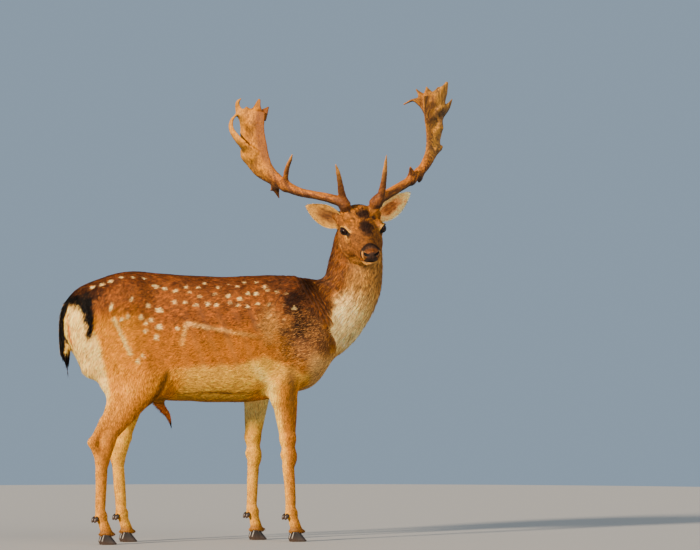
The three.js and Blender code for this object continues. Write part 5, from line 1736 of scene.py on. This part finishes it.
def add_coat(name, roots, normals, way, length, width, lift, colours, slot="coat"):
    """One piece of coat: each tuft a thin closed blade of four triangles, lying along way."""
    n = len(roots)
    across = np.cross(normals, way)
    lift = np.radians(lift * rng.uniform(0.6, 1.5, n))[:, None]
    length = (length * rng.uniform(0.75, 1.25, n))[:, None]
    width = (width * rng.uniform(0.8, 1.2, n))[:, None]
    sway = rng.normal(0, TUFT_SWAY, n)[:, None]
    tip = roots + length * (way * np.cos(lift) + normals * np.sin(lift) + across * sway)
    base = roots - normals * TUFT_DEPTH
    left, right = base - across * width / 2, base + across * width / 2
    crest = base + normals * (TUFT_DEPTH + 0.3 * width) + way * length * 0.3
    points = np.stack([left, right, crest, tip], 1).reshape(-1, 3)
    faces = (np.arange(n)[:, None, None] * 4 + np.array(BLADE)).reshape(-1, 3)
    facing = [normals - 0.45 * across, normals + 0.45 * across, normals, normals + 0.2 * way]
    facing = unit(np.stack(facing, 1)).reshape(-1, 3)
    shade = np.array(BLADE_SHADES)[None, :, None] * rng.uniform(0.66, 1.32, n)[:, None, None]
    tint = (colours[:, None] * shade).reshape(-1, 3)
    made = make_mesh(name, points, faces, tint, FUR, facing)
    home = unwrap(roots)
    low, high = home.min(0), home.max(0)
    home = 0.01 + 0.98 * (home - low) / np.maximum(high - low, 1e-6)
    uv = (home[:, None] + np.array(BLADE_PATCH)).reshape(-1, 2)[faces.ravel()]
    layer = made.data.uv_layers.new(name="OFBake")
    layer.data.foreach_set("uv", uv.astype(np.float32).ravel())


COVERAGE = 1.5  # how many tufts lie over each place
PIECE_TUFTS = 47000


def dress(points, faces, normals):
    """The whole body's short coat, split by place into pieces of no more than PIECE_TUFTS."""
    length, width, _ = hair_size(points)
    density = COVERAGE * (1 - nose_share(points)) / (0.5 * width * length)
    roots, facing, _ = scatter(points, faces, normals, density)
    length, width, lift = hair_size(roots)
    way = lie_of_coat(roots, facing)
    colours = coat_colour(roots, facing)
    # Long wisps at the tail's end, then darker and paler hairs, most of them over the shoulder.
    chance = rng.random(len(roots))
    wisp = (field([TAIL_SHAPE], roots) < 6) * (roots[:, 2] < 628) * (chance > 0.4) * (chance < 0.43)
    length = np.where(wisp, length * (1.6 + 60 * (chance - 0.4)), length)
    colours = mix(colours, WISP, 0.7 * wisp)
    grizzle = grizzle_share(roots)
    colours = mix(colours, colours * 0.5, (chance < 0.06 + 0.22 * grizzle) * 0.65)
    colours = mix(colours, GRIZZLE, (chance > 0.96 - 0.3 * grizzle) * mix(0.35, 0.75, grizzle))
    wave, where = creases(roots)
    roots = roots - facing * (2.6 * wave * where)[:, None]
    legs, neck, head = [share(roots) > 0.5 for share in (leg_share, neck_share, head_share)]
    group = np.where(head, 0, np.where(neck, 1, np.where(legs, 2, 3)))
    for k, (part, axis) in enumerate((("head", 0), ("neck", 0), ("legs", 2), ("trunk", 0))):
        chosen = np.flatnonzero(group == k)
        order = chosen[np.argsort(roots[chosen, axis], kind="stable")]
        pieces = np.array_split(order, max(1, math.ceil(len(order) / PIECE_TUFTS)))
        for i, some in enumerate(pieces):
            tufts = [v[some] for v in (roots, facing, way, length, width, lift, colours)]
            add_coat(f"coat_{part}_{i + 1}", *tufts)


def grizzle_share(p):
    """Where the coat is a mixture of dark and pale hairs: over the shoulder."""
    x, _, z = p.T
    places = (((300, 680), (110, 110)), SHOULDER_TAN)
    return np.max([soft(blot(x, z, *place), 0.2, 0.6) for place in places], axis=0)


def nose_share(p):
    """Bare skin of the nose, lids and nostrils."""
    q = into_head(p)
    m = to_left(q)
    f, a, u = m.T
    across, up, out, radius = on_lids(m)
    eye = soft(beyond_eye(across, up), 2.6, 1.6) * (out > 1) * (radius < 30)
    nose = np.maximum(pad_share(f, a, u), soft(nostril(a, u), 1.3, 1.1) * (f > 136))
    mouth = hill(mouth_height(f) - u, 2.5) * soft(f, 100, 112)
    return np.maximum(np.maximum(eye, nose), mouth) * (np.linalg.norm(q, axis=1) < HEAD_REACH)


# ---- everything together

FLESH_NODES = ["trunk", "neck", "head", "tail", "sheath"]
FLESH_NODES += [f"{leg}_{part}" for leg in LEG_NAMES for part in ("upper", "lower")]
SKIN_SHADE = 0.95  # of the skin, to the coat's colours

skin_points, skin_faces, skin_normals = make_skin()
skin_colours = coat_colour(skin_points, skin_normals) * SKIN_SHADE
carved = sculpt(skin_points, skin_normals)
skin = make_mesh("skin", carved, skin_faces, skin_colours, HIDE)
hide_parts(*FLESH_NODES)

for side, name in SIDES:
    make_eye(side, name)
    make_ear(side, name)
    make_antler(side, name)
    for legs, kind in ((HIND, "hind"), (FORE, "fore")):
        leg = f"{kind}_leg_{name}"
        for which, half in (("inner", -side), ("outer", side)):
            make_hoof(leg, legs[side][4], half, which)
            make_dewclaw(leg, legs[side][3], half, which)

dress(carved, skin_faces, skin_normals)


# ---- floor, light and camera


FLOOR_RADIUS = 5.0
FLOOR_COLOUR = (0.42, 0.42, 0.41)


def make_floor():
    """A round pale floor."""
    paint = bpy.data.materials.new("floor_paint")
    paint.use_nodes = True
    shader = paint.node_tree.nodes["Principled BSDF"]
    shader.inputs["Base Color"].default_value = (*FLOOR_COLOUR, 1)
    shader.inputs["Roughness"].default_value = 0.9
    shader.inputs["Specular IOR Level"].default_value = 0.1
    sides = 96
    angle = 2 * np.pi * np.arange(sides) / sides
    mesh = bpy.data.meshes.new("floor")
    corners = [(FLOOR_RADIUS * math.cos(a), FLOOR_RADIUS * math.sin(a), 0) for a in angle]
    mesh.from_pydata(corners, [], [list(range(sides))])
    mesh.materials.append(paint)
    add_object("floor", mesh)


def towards(azimuth, elevation):
    """Unit vector from the middle to a place at these angles, in degrees."""
    a, e = math.radians(azimuth), math.radians(elevation)
    return Vector((math.cos(a) * math.cos(e), math.sin(a) * math.cos(e), math.sin(e)))


def make_sun(name, azimuth, elevation, strength, colour, angle):
    light = bpy.data.lights.new(name, "SUN")
    light.energy, light.color, light.angle = strength, colour, math.radians(angle)
    lamp = add_object(name, light)
    lamp.rotation_euler = towards(azimuth, elevation).to_track_quat("Z", "Y").to_euler()


def make_world(colour, strength):
    world = bpy.data.worlds.new("studio")
    world.use_nodes = True
    background = world.node_tree.nodes["Background"]
    background.inputs["Color"].default_value = (*colour, 1)
    background.inputs["Strength"].default_value = strength
    bpy.context.scene.world = world


VIEW_AZIMUTH, VIEW_ELEVATION = -110.0, 1.0
VIEW_WIDTH, VIEW_DISTANCE = 2.345, 33.0  # in metres
SENSOR = 36.0
VIEW_MIDDLE = (456.6, -166.1, 894.5)  # in the plan's millimetres


def make_camera():
    data = bpy.data.cameras.new("camera")
    data.sensor_width = SENSOR
    data.lens = SENSOR * VIEW_DISTANCE / VIEW_WIDTH
    data.clip_end = 400.0
    camera = add_object("camera", data)
    way = towards(VIEW_AZIMUTH, VIEW_ELEVATION)
    camera.location = Vector((np.array(VIEW_MIDDLE) + SHIFT) / 1000) + VIEW_DISTANCE * way
    camera.rotation_euler = way.to_track_quat("Z", "Y").to_euler()
    bpy.context.scene.camera = camera


make_floor()
make_sun("key", azimuth=-152, elevation=17, strength=8.8, colour=(1.0, 0.79, 0.56), angle=5)
make_sun("fill", azimuth=-66, elevation=24, strength=1.7, colour=(1.0, 0.84, 0.62), angle=60)
make_world(colour=(0.27, 0.36, 0.46), strength=1.0)
make_camera()
